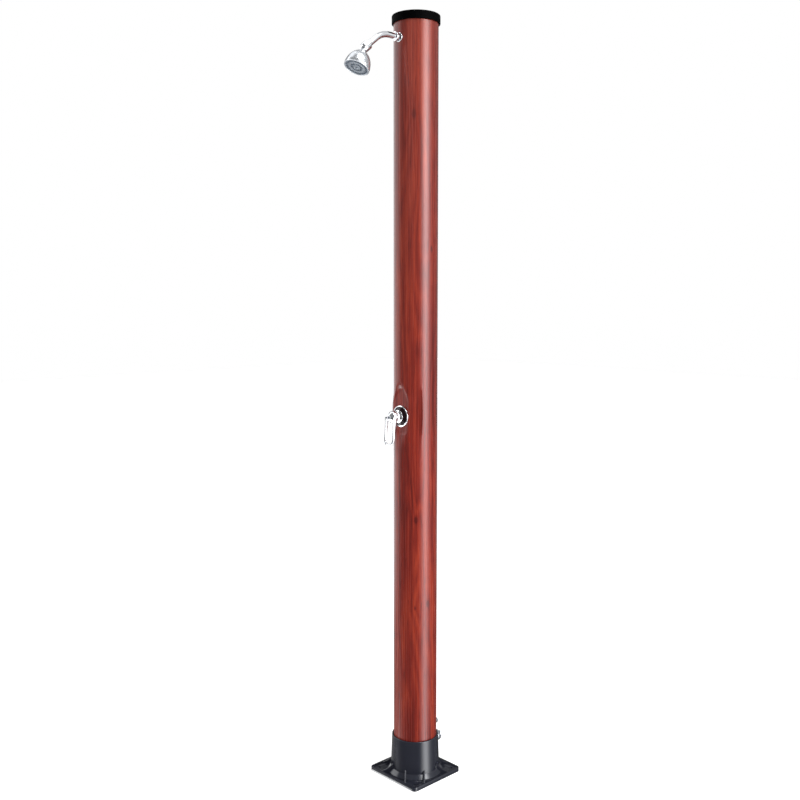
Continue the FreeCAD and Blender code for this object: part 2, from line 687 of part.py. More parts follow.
def build_foot_screws():
    """Four countersunk-flat screws that hold the foot to the bottom plug."""
    head = rod(foot_screw_head / 2, Size(3, "3"), (ZERO, ZERO, foot_screw_sink))
    shank = rod(foot_screw_od / 2, foot_screw_length, (ZERO, ZERO, foot_screw_sink))
    screw = fuse(head, shank)
    radius = float(foot_screw_circle / 2)
    spots = [Placement(Vector(radius, 0, 0), Rotation()),
             Placement(Vector(0, radius, 0), Rotation()),
             Placement(Vector(-radius, 0, 0), Rotation()),
             Placement(Vector(0, -radius, 0), Rotation())]
    copies("foot_screws", screw, spots)


# ---------------------------------------------------------------- post tube

def ellipse(half_height, half_width, distance, height):
    """An upright ellipse in front of the post axis."""
    ring = DOC.addObject("Part::Ellipse", "ellipse")
    bind(ring, MajorRadius=half_height, MinorRadius=half_width)
    return place(ring, (ZERO, -distance, height), SEAT_PLANE)


def frustum(half_height, half_width, face, spread, depth, height):
    """A solid between an upright ellipse and a larger one, depth nearer to or further from the axis."""
    loft = DOC.addObject("Part::Loft", "frustum")
    near = ellipse(half_height, half_width, face, height)
    wide = ellipse(half_height + spread, half_width + spread, face - depth, height)
    loft.Sections = [near, wide]
    loft.Solid = True
    loft.Ruled = True
    return loft


def pressed_blank(radius, start, length, face, shrink):
    """A round bar with the mixer's seat pressed into its front."""
    height = mixer_height + seat_lift
    bar = rod(radius, length, (ZERO, ZERO, start))
    tall = seat_half_height - shrink
    wide = seat_half_width - shrink
    slope = seat_flank / seat_depth
    proud = Size(1, "1")
    swell = frustum(tall - slope * proud, wide - slope * proud, face + proud,
                    slope * (seat_depth + proud), seat_depth + proud, height)
    return cut(fuse(bar, swell), trough(tall, face, radius + 3, height))


def trough(half_height, face, outer, height):
    """The press tool: a flat floor across the tube with a ramp above and below."""
    body = DOC.addObject("PartDesign::Body", "trough")
    ramp = (outer - face) * seat_ramp
    section = outline(sketch_on(body, "YZ_Plane", "TroughSection"), [
        (-face, height - half_height), (-outer, height - half_height - ramp),
        (-outer, height + half_height + ramp), (-face, height + half_height),
    ])
    pad(body, section, tube_od, "Trough").Midplane = True
    return body


def build_post_tube():
    """The water tank: a tube with a pressed seat and holes for all that passes its wall."""
    outer = pressed_blank(tube_r, tube_foot, tube_length, seat_face, ZERO)
    inner = pressed_blank(bore_r, tube_foot - 1, tube_length + 2, seat_back, tube_wall / 4)
    holes = [
        rod(mixer_neck_od / 2 + slip_gap, tube_od, (ZERO, ZERO, mixer_height), TO_FRONT),
        rod(wall_thread_od / 2 + slip_gap, tube_od, (ZERO, ZERO, arm_height), TO_FRONT),
        rod(inlet_thread_od / 2 + slip_gap, tube_od, (ZERO, ZERO, inlet_height), TO_BACK),
        rod(drain_thread_od / 2 + 2 + slip_gap, tube_od, (ZERO, ZERO, drain_height), TO_BACK),
    ]
    keep(cut(outer, inner, *holes), "post_tube")


def build_cap():
    """Black cap over the top of the tube, with a rounded upper edge."""
    r = cap_od / 2
    soft = Size(0.8, "0.8")
    turned("top_cap", [
        (ZERO, cap_height - cap_roof),
        (tube_r + slip_gap, cap_height - cap_roof),
        (tube_r + slip_gap, ZERO),
        (r - soft, ZERO),
        (r, soft),
        (r, cap_height - cap_edge, cap_edge, -1),
        (r - cap_edge, cap_height),
        (ZERO, cap_height),
    ], (ZERO, ZERO, cap_foot))


def plug_section():
    """Half section of a tank plug: a disc with a skirt and a groove for its ring."""
    groove_r = plug_r - ring_cord + bore_gap
    low = ring_height - ring_cord / 2 - bore_gap
    high = ring_height + ring_cord / 2 + bore_gap
    return [
        (ZERO, ZERO), (plug_r, ZERO), (plug_r, low), (groove_r, low), (groove_r, high),
        (plug_r, high), (plug_r, plug_skirt), (plug_r - plug_skirt_wall, plug_skirt),
        (plug_r - plug_skirt_wall, plug_disc), (ZERO, plug_disc),
    ]


def build_plugs():
    """The plugs that close the tank, each with its rubber ring."""
    ring_r = plug_r - ring_cord / 2 + bore_gap / 2
    cord = ring_cord - bore_gap
    body = DOC.addObject("PartDesign::Body", "bottom_plug")
    revolve(body, outline(sketch_on(body, "XZ_Plane", "HalfSection"), plug_section()), "Turned")
    pilots = sketch_on(body, "XY_Plane", "ScrewPilots")
    for sx, sy in ((1, 0), (0, 1), (-1, 0), (0, -1)):
        x = foot_screw_circle / 2 * sx if sx else ZERO
        y = foot_screw_circle / 2 * sy if sy else ZERO
        circle(pilots, x, y, foot_screw_od / 2 + run_gap)
    pilot = body.newObject("PartDesign::Pocket", "Pilots")
    pilot.Profile = pilots
    pilot.Reversed = True
    bind(pilot, Length=foot_screw_sink + foot_screw_length - plate_thickness + 0.5)
    place(body, (ZERO, ZERO, tube_foot))
    keep(body, "bottom_plug")
    sealing_ring("bottom_plug_ring", ring_r, cord, ring_height, (ZERO, ZERO, tube_foot))
    top = top_plug_height + plug_skirt
    turned("top_plug", plug_section(), (ZERO, ZERO, top), DOWN)
    sealing_ring("top_plug_ring", ring_r, cord, -ring_height, (ZERO, ZERO, top))


# ---------------------------------------------------------------- hose inlet and drain

def build_inlet():
    """Everything that carries water in through the collar, and the fittings behind it."""
    spot = (ZERO, ZERO, inlet_height)
    thread = inlet_thread_od / 2
    bore = inlet_bore / 2
    hex_start = inlet_pad_face + washer_thickness
    hex_end = hex_start + inlet_hex_thickness
    blank = fuse(
        rod_between(thread, thread_end, inlet_reach),
        hexagon(inlet_hex_flats, inlet_hex_thickness, (ZERO, ZERO, hex_start)))
    nipple = cut(blank, rod_between(bore, thread_end - 1, inlet_reach + 1))
    keep(place(nipple, spot, TO_BACK), "inlet_nipple")

    turned("inlet_washer",
           tube_outline(thread + bore_gap, inlet_pad_od / 2 - 3, inlet_pad_face, hex_start),
           spot, TO_BACK)

    grip_end = hex_end + slip_gap + coupling_length
    turned("hose_coupling", [
        (thread + bore_gap, hex_end + slip_gap),
        (coupling_od / 2 - nut_bevel, hex_end + slip_gap),
        (coupling_od / 2, hex_end + slip_gap + nut_bevel),
        (coupling_od / 2, grip_end - 2.5),
        (spigot_od / 2 + 1.5, grip_end),
        (spigot_od / 2, grip_end),
        (spigot_od / 2, spigot_reach - 4),
        (spigot_od / 2 - fine_bevel, spigot_reach),
        (bore, spigot_reach),
        (bore, inlet_reach + slip_gap),
        (thread + bore_gap, inlet_reach + slip_gap),
    ], spot, TO_BACK)

    saddle_washer("inlet_saddle_washer", thread + bore_gap, saddle_od / 2, backnut_face,
                  bore_r, inlet_height, TO_BACK)
    nut = cut(hexagon(backnut_flats, backnut_thickness, (ZERO, ZERO, backnut_face - backnut_thickness)),
              rod_between(thread + run_gap, ZERO, backnut_face + 1))
    keep(place(nut, spot, TO_BACK), "inlet_back_nut")


def build_tee():
    """The tee behind the inlet: up into the check valve, forward to the cold elbow."""
    thread = inlet_thread_od / 2
    tee_end = backnut_face - backnut_thickness - slip_gap
    front = pipe_plane - elbow_arm - slip_gap
    barrel_start = tee_rise - valve_od / 2 - 1.5
    blank = fuse(
        rod(thread + 3, tee_end - barrel_start, (ZERO, barrel_start, inlet_height), TO_BACK),
        rod(socket_od / 2, barrel_start + front, (ZERO, barrel_start, inlet_height), TO_FRONT),
        rod(valve_od / 2, elbow_arm, (ZERO, tee_rise, inlet_height)))
    tee = cut(
        blank,
        rod(thread + run_gap, tee_end, (ZERO, thread_end, inlet_height), TO_BACK),
        rod(pipe_bore / 2, tube_r + thread_end, (ZERO, thread_end + 1, inlet_height), TO_FRONT),
        rod(pipe_od / 2 + bore_gap, socket_depth + 1,
            (ZERO, socket_depth - front, inlet_height), TO_FRONT),
        rod(valve_seat_bore / 2, elbow_arm + 1, (ZERO, tee_rise, inlet_height)))
    keep(tee, "feed_tee")


def build_check_valve():
    """A valve that lets water into the tank and closes under its poppet's own weight."""
    foot = inlet_height + elbow_arm
    seat = Size(6, "6")
    r = valve_od / 2
    inner = poppet_od / 2 + 2
    guide = poppet_guide_od / 2 + run_gap
    spot = (ZERO, tee_rise, foot)
    cage_roof = valve_length - 5
    blank = rod(r, valve_length, spot)
    tools = [
        rod(valve_seat_bore / 2, seat + 1, (ZERO, tee_rise, foot - 0.5)),
        rod(inner, cage_roof - seat, (ZERO, tee_rise, foot + seat)),
        rod(guide, valve_length, (ZERO, tee_rise, foot + seat)),
        block(valve_od + 2, poppet_od * 0.6, cage_roof - seat - 10,
              (ZERO, tee_rise, foot + seat + 8)),
        block(poppet_od * 0.6, valve_od + 2, cage_roof - seat - 10,
              (ZERO, tee_rise, foot + seat + 8)),
    ]
    keep(cut(blank, *tools), "check_valve_cage")
    turned("check_valve_poppet", [
        (ZERO, seat),
        (poppet_od / 2, seat),
        (poppet_od / 2, seat + 3),
        (poppet_guide_od / 2, seat + 5),
        (poppet_guide_od / 2, valve_length - 1),
        (ZERO, valve_length - 1),
    ], spot)


def build_drain():
    """A bushing through the wall above the collar, with a screw plug and its washer."""
    spot = (ZERO, ZERO, drain_height)
    r = drain_thread_od / 2
    sleeve = r + 2
    bushing = cut(
        fuse(rod_between(sleeve, backnut_face - backnut_thickness, drain_bush_reach),
             cut(rod_between(drain_flange_od / 2, tube_r - 4, drain_bush_reach),
                 rod(flange_clear, drain_flange_od * 2, (ZERO, -drain_flange_od, ZERO), TO_BACK))),
        rod_between(r + run_gap, ZERO, drain_reach))
    keep(place(bushing, spot, TO_BACK), "drain_bushing")
    knob = drain_bush_reach + washer_thickness
    turned("drain_washer", tube_outline(r + bore_gap, r + 2.5, drain_bush_reach, knob), spot, TO_BACK)
    turned("drain_plug", [
        (ZERO, drain_stem_end),
        (r, drain_stem_end),
        (r, knob),
        (drain_knob_od / 2, knob),
        (drain_knob_od / 2, drain_reach - 3),
        (drain_knob_od / 2 - 2, drain_reach),
        (ZERO, drain_reach),
    ], spot, TO_BACK)
    saddle_washer("drain_saddle_washer", sleeve + bore_gap, sleeve + 4, backnut_face, bore_r,
                  drain_height, TO_BACK)
    nut = cut(hexagon(sleeve * 2 + 6, backnut_thickness, (ZERO, ZERO, backnut_face - backnut_thickness)),
              rod_between(sleeve + run_gap, ZERO, backnut_face + 1))
    keep(place(nut, spot, TO_BACK), "drain_back_nut")


# ---------------------------------------------------------------- pipes inside

def elbow(label, centre, first, second):
    """A pipe elbow: two sockets that meet at its centre."""
    x, y, z = centre
    outer = [rod(socket_od / 2, elbow_arm, centre, first), rod(socket_od / 2, elbow_arm, centre, second),
             sphere(socket_od / 2, centre)]
    tools = []
    for axis, angle in (first, second):
        turn = Rotation(axis, float(angle))
        reach = turn.multVec(Vector(0, 0, 1))
        start = [part + (elbow_arm - socket_depth) * round(step) if round(step) else part
                 for part, step in zip(centre, reach)]
        tools.append(rod(pipe_od / 2 + bore_gap, elbow_arm, start, (axis, angle)))
        tools.append(rod(pipe_bore / 2, elbow_arm, centre, (axis, angle)))
    tools.append(sphere(pipe_bore / 2, centre))
    return keep(cut(fuse(*outer), *tools), label)


def pipe(label, start, end, base_x, base_y):
    """A straight upright pipe between two heights."""
    return turned(label, tube_outline(pipe_bore / 2, pipe_od / 2, ZERO, end - start),
                  (base_x, base_y, start))


def build_pipes():
    """Cold pipe up to the mixer, mixed pipe up to the arm, hot pipe down from the tank's top."""
    bottom_port = mixer_height - mixer_port_reach + socket_depth
    top_port = mixer_height + mixer_port_reach - socket_depth
    shoulder = elbow_arm - socket_depth
    elbow("cold_elbow", (ZERO, -pipe_plane, inlet_height), TO_BACK, UPRIGHT)
    stub_start = pipe_plane - elbow_arm - slip_gap - socket_depth
    turned("cold_stub", tube_outline(pipe_bore / 2, pipe_od / 2, stub_start, pipe_plane - shoulder),
           (ZERO, ZERO, inlet_height), TO_FRONT)
    pipe("cold_pipe", inlet_height + shoulder, bottom_port, ZERO, -pipe_plane)
    elbow("arm_elbow", (ZERO, -pipe_plane, arm_height), TO_FRONT, DOWN)
    pipe("mixed_pipe", top_port, arm_height - shoulder, ZERO, -pipe_plane)
    pipe("hot_pipe", top_port, hot_pipe_top, hot_offset, -pipe_plane)


# ---------------------------------------------------------------- mixer

mixer_port_reach = mixer_body_od / 2 + 14


def build_mixer_body():
    """Brass body behind the wall: neck, cartridge bore, two inlets and one outlet."""
    gasket_back = seat_back - gasket_thickness
    spot = (ZERO, ZERO, mixer_height)
    barrel = rod(mixer_body_od / 2, gasket_back - mixer_back, (ZERO, -mixer_back, mixer_height), TO_FRONT)
    neck = rod(mixer_neck_od / 2, mixer_neck_face - mixer_back, (ZERO, -mixer_back, mixer_height), TO_FRONT)
    column = rod(socket_od / 2, mixer_port_reach * 2, (ZERO, -pipe_plane, mixer_height - mixer_port_reach))
    riser = rod(socket_od / 2, mixer_port_reach, (hot_offset, -pipe_plane, mixer_height))
    socket_r_wide = pipe_od / 2 + bore_gap
    top_socket = mixer_height + mixer_port_reach - socket_depth
    body = cut(
        fuse(barrel, neck, column, riser),
        rod(cartridge_od / 2 + run_gap, tube_r, (ZERO, -cartridge_back, mixer_height), TO_FRONT),
        rod(pipe_bore / 2, mixer_port_reach * 2 + 2,
            (ZERO, -pipe_plane, mixer_height - mixer_port_reach - 1)),
        rod(pipe_bore / 2, mixer_port_reach, (hot_offset, -pipe_plane, mixer_height)),
        rod(socket_r_wide, socket_depth, (ZERO, -pipe_plane, mixer_height - mixer_port_reach)),
        rod(socket_r_wide, socket_depth + 1, (ZERO, -pipe_plane, top_socket)),
        rod(socket_r_wide, socket_depth + 1, (hot_offset, -pipe_plane, top_socket)))
    keep(body, "mixer_body")
    r = mixer_neck_od / 2
    turned("mixer_inner_gasket", tube_outline(r + bore_gap, mixer_body_od / 2, gasket_back, seat_back),
           spot, TO_FRONT)
    gasket_face = seat_face + gasket_thickness
    turned("mixer_outer_gasket", tube_outline(r + bore_gap, gasket_od / 2, seat_face, gasket_face),
           spot, TO_FRONT)
    turned("mixer_clamp_nut",
           tube_outline(r + run_gap, clamp_nut_od / 2, gasket_face, gasket_face + clamp_nut_thickness),
           spot, TO_FRONT)


def build_cartridge():
    """The sealed cartridge, its ring nut, and the stem that the lever turns."""
    spot = (ZERO, ZERO, mixer_height)
    r = cartridge_od / 2
    stem = stem_od / 2
    turned("mixer_cartridge", [
        (ZERO, cartridge_back), (r, cartridge_back), (r, cartridge_face),
        (stem + run_gap, cartridge_face), (stem + run_gap, stem_back), (ZERO, stem_back),
    ], spot, TO_FRONT)
    retainer_end = cartridge_face + retainer_thickness
    turned("cartridge_ring_nut", tube_outline(stem + slip_gap, r, cartridge_face, retainer_end),
           spot, TO_FRONT)

    slot = Size(10, "10")
    shaft = rod_between(stem, stem_back, pivot_reach + hub_ball_face)
    pin_hole = rod(pivot_pin_od / 2, stem_od + 2,
                   (-(stem_od / 2 + 1), ZERO, pivot_reach), TO_SIDE)
    gap = block(tongue_width + run_gap * 2, stem_od + 2, slot + hub_ball_face + 1,
                (ZERO, ZERO, pivot_reach - slot))
    keep(place(cut(shaft, pin_hole, gap), spot, TO_FRONT), "cartridge_stem")
    pin = rod(pivot_pin_od / 2 - run_gap / 2, stem_od - 1,
              (-(stem_od / 2 - 0.5), -pivot_reach, mixer_height), TO_SIDE)
    keep(pin, "pivot_pin")


def build_rosette_and_hub():
    """The round cover plate and the hub that ends in the lever's ball."""
    spot = (ZERO, ZERO, mixer_height)
    r = rosette_od / 2
    hole = hub_od / 2 + slip_gap
    back = seat_face + slip_gap
    rim = back + rosette_rim
    shoulder = r * 0.62
    turned("mixer_rosette", [
        (r - rosette_wall, back),
        (r - 0.4, back),
        (r, back + 0.6),
        (r, rim),
        (r - fine_bevel, rim + fine_bevel),
        (shoulder, rosette_crown - fine_bevel),
        (hole + 1, rosette_crown),
        (hole, rosette_crown),
        (hole, rosette_crown - rosette_wall),
        (shoulder - 0.5, rosette_crown - fine_bevel - rosette_wall),
        (r - rosette_wall, rim - 0.2),
    ], spot, TO_FRONT)
    inner = stem_od / 2 + run_gap * 2
    hub_r = hub_od / 2
    flare = rosette_crown + slip_gap
    neck = pivot_reach - (hub_ball_r * hub_ball_r - hub_r * hub_r).root()
    face_r = (hub_ball_r * hub_ball_r - hub_ball_face * hub_ball_face).root()
    turned("lever_hub", [
        (inner, hub_back),
        (hub_r, hub_back),
        (hub_r, flare),
        (hub_flare_od / 2, flare),
        (hub_flare_od / 2, flare + hub_flare_edge, hub_flare_curve, 1),
        (hub_r, flare + hub_flare_length),
        (hub_r, neck, hub_ball_r, -1),
        (face_r, pivot_reach + hub_ball_face),
        (inner, pivot_reach + hub_ball_face),
    ], spot, TO_FRONT)
    sealing_ring("hub_ring", hub_od / 2 + ring_cord / 2 + run_gap, ring_cord,
                 rosette_crown - rosette_wall - ring_cord / 2 - slip_gap, spot, TO_FRONT)


def build_lever():
    """The lever: a round hood over the hub's ball and a loop to grip, with its spindle and screw."""
    pivot = (ZERO, -pivot_reach, mixer_height)
    body = DOC.addObject("PartDesign::Body", "mixer_lever")
    face = hood_face
    rim = (hood_outer_r * hood_outer_r - hood_face * hood_face).root()
    skirt = (hood_outer_r * hood_outer_r - hood_skirt * hood_skirt).root()
    revolve(body, outline(sketch_on(body, "XZ_Plane", "HoodSection"), [
        (ZERO, -hood_skirt),
        (skirt, -hood_skirt, hood_outer_r, -1),
        (rim, face),
        (ZERO, face),
    ]), "Hood")

    half = loop_pitch / 2
    strand_r = loop_strand / 2
    low = loop_root + cheek_drop * loop_lean.sine() / loop_lean.cosine()
    for start in (-half - cheek_thickness / 2, half - cheek_thickness / 2):
        cheek = sketch_on(body, "YZ_Plane", "CheekSide", Placement(Vector(0, 0, float(start)), Rotation()))
        cheek.setExpression("AttachmentOffset.Base.z", start.text)
        outline(cheek, [
            (-cheek_top, slip_gap - hood_skirt, cheek_curve, -1),
            (-cheek_drop, low - strand_r + cheek_inset),
            (-cheek_drop, low + strand_r - cheek_inset),
            (-cheek_top, loop_root + strand_r + cheek_front),
        ])
        pad(body, cheek, cheek_thickness, "Cheek")

    lean = Rotation(Vector(-1, 0, 0), float(loop_lean))
    path = sketch_on(body, "XY_Plane", "LoopPath", Placement(Vector(0, 0, float(loop_root)), lean))
    path.setExpression("AttachmentOffset.Base.z", loop_root.text)
    path.setExpression("AttachmentOffset.Rotation.Angle", loop_lean.text)
    foot = -(loop_drop - half)
    outline(path, [
        (-half, ZERO), (-half, foot, half, -1), (ZERO, foot - half, half, -1), (half, foot), (half, ZERO),
    ], closed=False)
    profile = sketch_on(body, "XZ_Plane", "LoopProfile", Placement(Vector(0, float(loop_root), 0), lean))
    profile.setExpression("AttachmentOffset.Base.y", loop_root.text)
    profile.setExpression("AttachmentOffset.Rotation.Angle", loop_lean.text)
    circle(profile, -half, ZERO, strand_r)
    loop = body.newObject("PartDesign::AdditivePipe", "Loop")
    loop.Profile = profile
    loop.Spine = path
    loop.Mode = "Standard"

    roof = (hood_inner_r * hood_inner_r - hood_roof * hood_roof).root()
    mouth = (hood_inner_r * hood_inner_r - hood_skirt * hood_skirt).root()
    revolve(body, outline(sketch_on(body, "XZ_Plane", "HoodHollow"), [
        (ZERO, -hood_skirt - 8),
        (mouth, -hood_skirt - 8),
        (mouth, -hood_skirt, hood_inner_r, -1),
        (roof, hood_roof),
        (ZERO, hood_roof),
    ]), "Hollow", "Groove")
    button_floor = face - 1.6
    screw_r = lever_screw_od / 2 + run_gap
    revolve(body, outline(sketch_on(body, "XZ_Plane", "ButtonSeat"), [
        (ZERO, button_floor),
        (lever_button_od / 2 + run_gap, button_floor),
        (lever_button_od / 2 + run_gap, face + 1),
        (ZERO, face + 1),
    ]), "ButtonBore", "Groove")
    revolve(body, outline(sketch_on(body, "XZ_Plane", "ScrewBore"), [
        (ZERO, ZERO), (screw_r, ZERO), (screw_r, face), (ZERO, face),
    ]), "ScrewHole", "Groove")
    place(body, pivot, TO_FRONT)
    keep(body, "mixer_lever")

    neck = hub_ball_face + 3
    spindle = cut(
        fuse(block(tongue_width, tongue_depth, tongue_tail + neck + 1, (ZERO, ZERO, -tongue_tail)),
             rod_between(spindle_od / 2, neck, hood_roof)),
        rod(pivot_pin_od / 2 + run_gap, stem_od, (-(stem_od / 2), ZERO, ZERO), TO_SIDE),
        rod_between(lever_screw_od / 2 + run_gap, hood_roof - 6, hood_roof + 1))
    keep(place(spindle, pivot, TO_FRONT), "lever_spindle")
    head_top = button_floor + fine_bevel
    screw = fuse(rod_between(lever_screw_od / 2, hood_roof - 5.5, head_top),
                 rod_between(lever_screw_head / 2, button_floor, head_top))
    keep(place(screw, pivot, TO_FRONT), "lever_screw")
    button = cut(rod_between(lever_button_od / 2, button_floor, face + 0.3),
                 rod_between(lever_screw_head / 2 + run_gap, button_floor - 1, head_top + run_gap))
    keep(place(button, pivot, TO_FRONT), "lever_button")


# ---------------------------------------------------------------- shower arm

def thread_back():
    """Where the arm's wall thread begins, just inside its back nut."""
    return backnut_face - backnut_thickness - 1


def build_arm():
    """Wall bushing, flange, union nut and the bent arm with the fitting at its end."""
    spot = (ZERO, ZERO, arm_height)
    thread = wall_thread_od / 2
    shoulder = pipe_plane + elbow_arm - socket_depth
    bushing = cut(
        fuse(rod_between(pipe_od / 2, shoulder, thread_back()),
             rod_between(thread, thread_back(), arm_flange_face + 1),
             rod_between(arm_od / 2, arm_flange_face, arm_back)),
        rod_between(pipe_bore / 2, ZERO, tube_od))
    keep(place(bushing, spot, TO_FRONT), "arm_bushing")
    saddle_washer("arm_saddle_washer", thread + bore_gap, saddle_od / 2, backnut_face,
                  bore_r, arm_height, TO_FRONT)
    nut = cut(hexagon(backnut_flats, backnut_thickness - slip_gap,
                      (ZERO, ZERO, backnut_face - backnut_thickness + slip_gap)),
              rod_between(thread + run_gap, ZERO, backnut_face + 1))
    keep(place(nut, spot, TO_FRONT), "arm_back_nut")

    flange_blank = turned_blank([
        (thread + run_gap, tube_r - 5),
        (arm_flange_od / 2, tube_r - 5),
        (arm_flange_od / 2, arm_flange_face - nut_bevel),
        (arm_flange_od / 2 - nut_bevel, arm_flange_face),
        (thread + run_gap, arm_flange_face),
    ])
    flange = cut(flange_blank,
                 rod(flange_clear, arm_flange_od * 2, (ZERO, -arm_flange_od, ZERO), TO_BACK))
    keep(place(flange, spot, TO_FRONT), "arm_flange")

    nut_start = arm_back - 3
    nut_end = nut_start + union_nut_length
    nut_bore = arm_od / 2 + bore_gap
    r = union_nut_od / 2
    turned("arm_union_nut", [
        (nut_bore, nut_start),
        (r - fine_bevel, nut_start),
        (r, nut_start + fine_bevel),
        (r, nut_end - nut_bevel),
        (r - nut_bevel, nut_end),
        (nut_bore, nut_end),
    ], spot, TO_FRONT)

    body = DOC.addObject("PartDesign::Body", "shower_arm")
    tangent = arm_bend * (arm_droop / 2).sine() / (arm_droop / 2).cosine()
    path = sketch_on(body, "YZ_Plane", "ArmPath")
    outline(path, [
        (-arm_back, arm_height),
        (-(arm_corner - tangent), arm_height, arm_bend, -1),
        (-(arm_corner + tangent * arm_droop.cosine()), arm_height - tangent * arm_droop.sine()),
        (-(arm_corner + arm_end * arm_droop.cosine()), arm_height - arm_end * arm_droop.sine()),
    ], closed=False)
    profile = sketch_on(body, "XZ_Plane", "ArmProfile", Placement(Vector(0, 0, float(arm_back)), Rotation()))
    profile.setExpression("AttachmentOffset.Base.z", arm_back.text)
    circle(profile, ZERO, arm_height, arm_od / 2)
    circle(profile, ZERO, arm_height, arm_bore / 2)
    sweep = body.newObject("PartDesign::AdditivePipe", "ArmTube")
    sweep.Profile = profile
    sweep.Spine = path
    sweep.Mode = "Standard"
    keep(body, "shower_arm")

    fitting_start = arm_end - ball_from_corner
    turned("swivel_fitting", [
        (arm_bore / 2 - 1, fitting_start),
        (arm_od / 2, fitting_start),
        (arm_od / 2, -swivel_nut_back + nut_bevel),
        (fitting_od / 2, -swivel_nut_back + 3),
        (fitting_od / 2, -fitting_face),
        (arm_bore / 2 - 1, -fitting_face),
    ], ball_centre, ALONG_ARM)


# ---------------------------------------------------------------- swivel and head

def build_swivel():
    """Nut on the arm, rubber ring, liner and ball: the head's ball joint."""
    seal_back = -fitting_face
    seal_front = -(ball_r * 0.62)
    ring = cut(rod_between(ball_r - 1, seal_back, seal_front),
               sphere(ball_r + run_gap),
               rod_between(arm_bore / 2 - 0.5, seal_back - 1, ZERO))
    keep(place(ring, ball_centre, ALONG_ARM), "swivel_seal")

    mouth_r = ball_r * 0.905 + 0.4
    mouth_taper = Size(2.6, "2.6")
    nut = cut(
        turned_blank([
            (ZERO, -swivel_nut_back),
            (swivel_nut_od / 2 - nut_bevel, -swivel_nut_back),
            (swivel_nut_od / 2, -swivel_nut_back + nut_bevel),
            (swivel_nut_od / 2, -liner_front),
            (swivel_nut_od / 2 - mouth_taper, swivel_nut_lip),
            (ZERO, swivel_nut_lip),
        ]),
        sphere(nut_cavity_r),
        rod_between(fitting_od / 2 + bore_gap, -swivel_nut_back - 1, -liner_back),
        rod_between(mouth_r, ZERO, swivel_nut_lip + 1))
    keep(place(nut, ball_centre, ALONG_ARM), "swivel_nut")

    liner = cut(common(sphere(liner_outer_r), rod_between(liner_outer_r + 1, -liner_back, liner_front)),
                sphere(liner_inner_r))
    keep(place(liner, ball_centre, ALONG_ARM), "swivel_liner")

    ball = cut(
        fuse(sphere(ball_r), rod_between(ball_neck_od / 2, ZERO, bell_top + 6),
             rod_between(ball_neck_od / 2 + 2, bell_top - fine_bevel, bell_top)),
        rod_between(ball_bore / 2, -ball_r, bell_top + 7))
    keep(place(ball, ball_centre, ALONG_HEAD), "ball_nipple")


def build_head():
    """Bell, washer, nozzle mat and spray face."""
    mouth = bell_top + bell_height
    r = bell_od / 2
    top_r = bell_top_od / 2
    neck = ball_neck_od / 2 + run_gap
    crown = bell_top + 1.5
    knee = mouth - bell_band * 2.4
    knee_r = r - 2.3
    band = mouth - bell_band
    inner_crown = crown + bell_wall * 2
    turned("head_bell", [
        (neck, bell_top),
        (top_r - 1, bell_top),
        (top_r, crown, bell_shoulder, -1),
        (knee_r, knee),
        (r, band),
        (r, mouth - 1),
        (r - 0.8, mouth),
        (r - bell_wall, mouth),
        (r - bell_wall, band),
        (knee_r - bell_wall, knee, bell_shoulder, 1),
        (top_r + 0.8, inner_crown),
        (neck, inner_crown),
    ], ball_centre, ALONG_HEAD)
    face_end = mouth - face_recess
    face_start = face_end - face_thickness
    face_r = r - bell_wall - bore_gap
    mat_start = face_start - mat_thickness

    spots = []
    for ring in range(1, round(nozzle_rings) + 1):
        count = round(nozzles_in_first_ring * ring)
        radius = float(nozzle_ring_step) * ring
        for index in range(count):
            angle = 2 * math.pi * (index + 0.5 * (ring % 2)) / count
            spots.append((radius * math.cos(angle), radius * math.sin(angle)))
    holes = [Part.makeCylinder(float(nozzle_od / 2 + bore_gap), float(face_thickness) + 2,
                               Vector(x, y, float(face_start) - 1)) for x, y in spots]
    tips = [Part.makeCone(float(nozzle_od / 2), float(nozzle_od / 2) * 0.8,
                          float(nozzle_length), Vector(x, y, float(face_start) - 0.2)) for x, y in spots]
    plate = Part.makeCylinder(float(face_r), float(face_thickness), Vector(0, 0, float(face_start)))
    set_shape("spray_face", plate.cut(holes), ball_centre, ALONG_HEAD)
    mat = Part.makeCylinder(float(face_r - 1), float(mat_thickness), Vector(0, 0, float(mat_start)))
    set_shape("nozzle_mat", mat.fuse(tips).removeSplitter(), ball_centre, ALONG_HEAD)
    turned("mat_carrier", [
        (ball_neck_od / 2 + 2, mat_start - 3),
        (face_r - 0.3, mat_start - 3),
        (face_r - 0.3, mat_start),
        (face_r - 4, mat_start),
        (face_r - 4, mat_start - 1.5),
        (ball_neck_od / 2 + 2, mat_start - 1.5),
    ], ball_centre, ALONG_HEAD)


# ---------------------------------------------------------------- build, check and write

def build_all():
    """Build every piece, from the foot up."""
    build_base_flange()
    build_foot_screws()
    build_post_tube()
    build_cap()
    build_plugs()
    build_inlet()
    build_tee()
    build_check_valve()
    build_drain()
    build_pipes()
    build_mixer_body()
    build_cartridge()
    build_rosette_and_hub()
    build_lever()
    build_arm()
    build_swivel()
    build_head()


def check_document():
    """Stop if any object failed, or any piece has no sound shape."""
    DOC.recompute()
    for item in DOC.Objects:
        if "Invalid" in item.State or "Error" in item.State:
            raise RuntimeError(f"{item.Label} ({item.Name}) failed: {item.State}")
    for piece in PIECES:
        if piece.Shape.isNull() or not piece.Shape.isValid():
            raise RuntimeError(f"{piece.Label} has no sound shape")
        if not piece.Shape.Solids:
            raise RuntimeError(f"{piece.Label} has no solid")


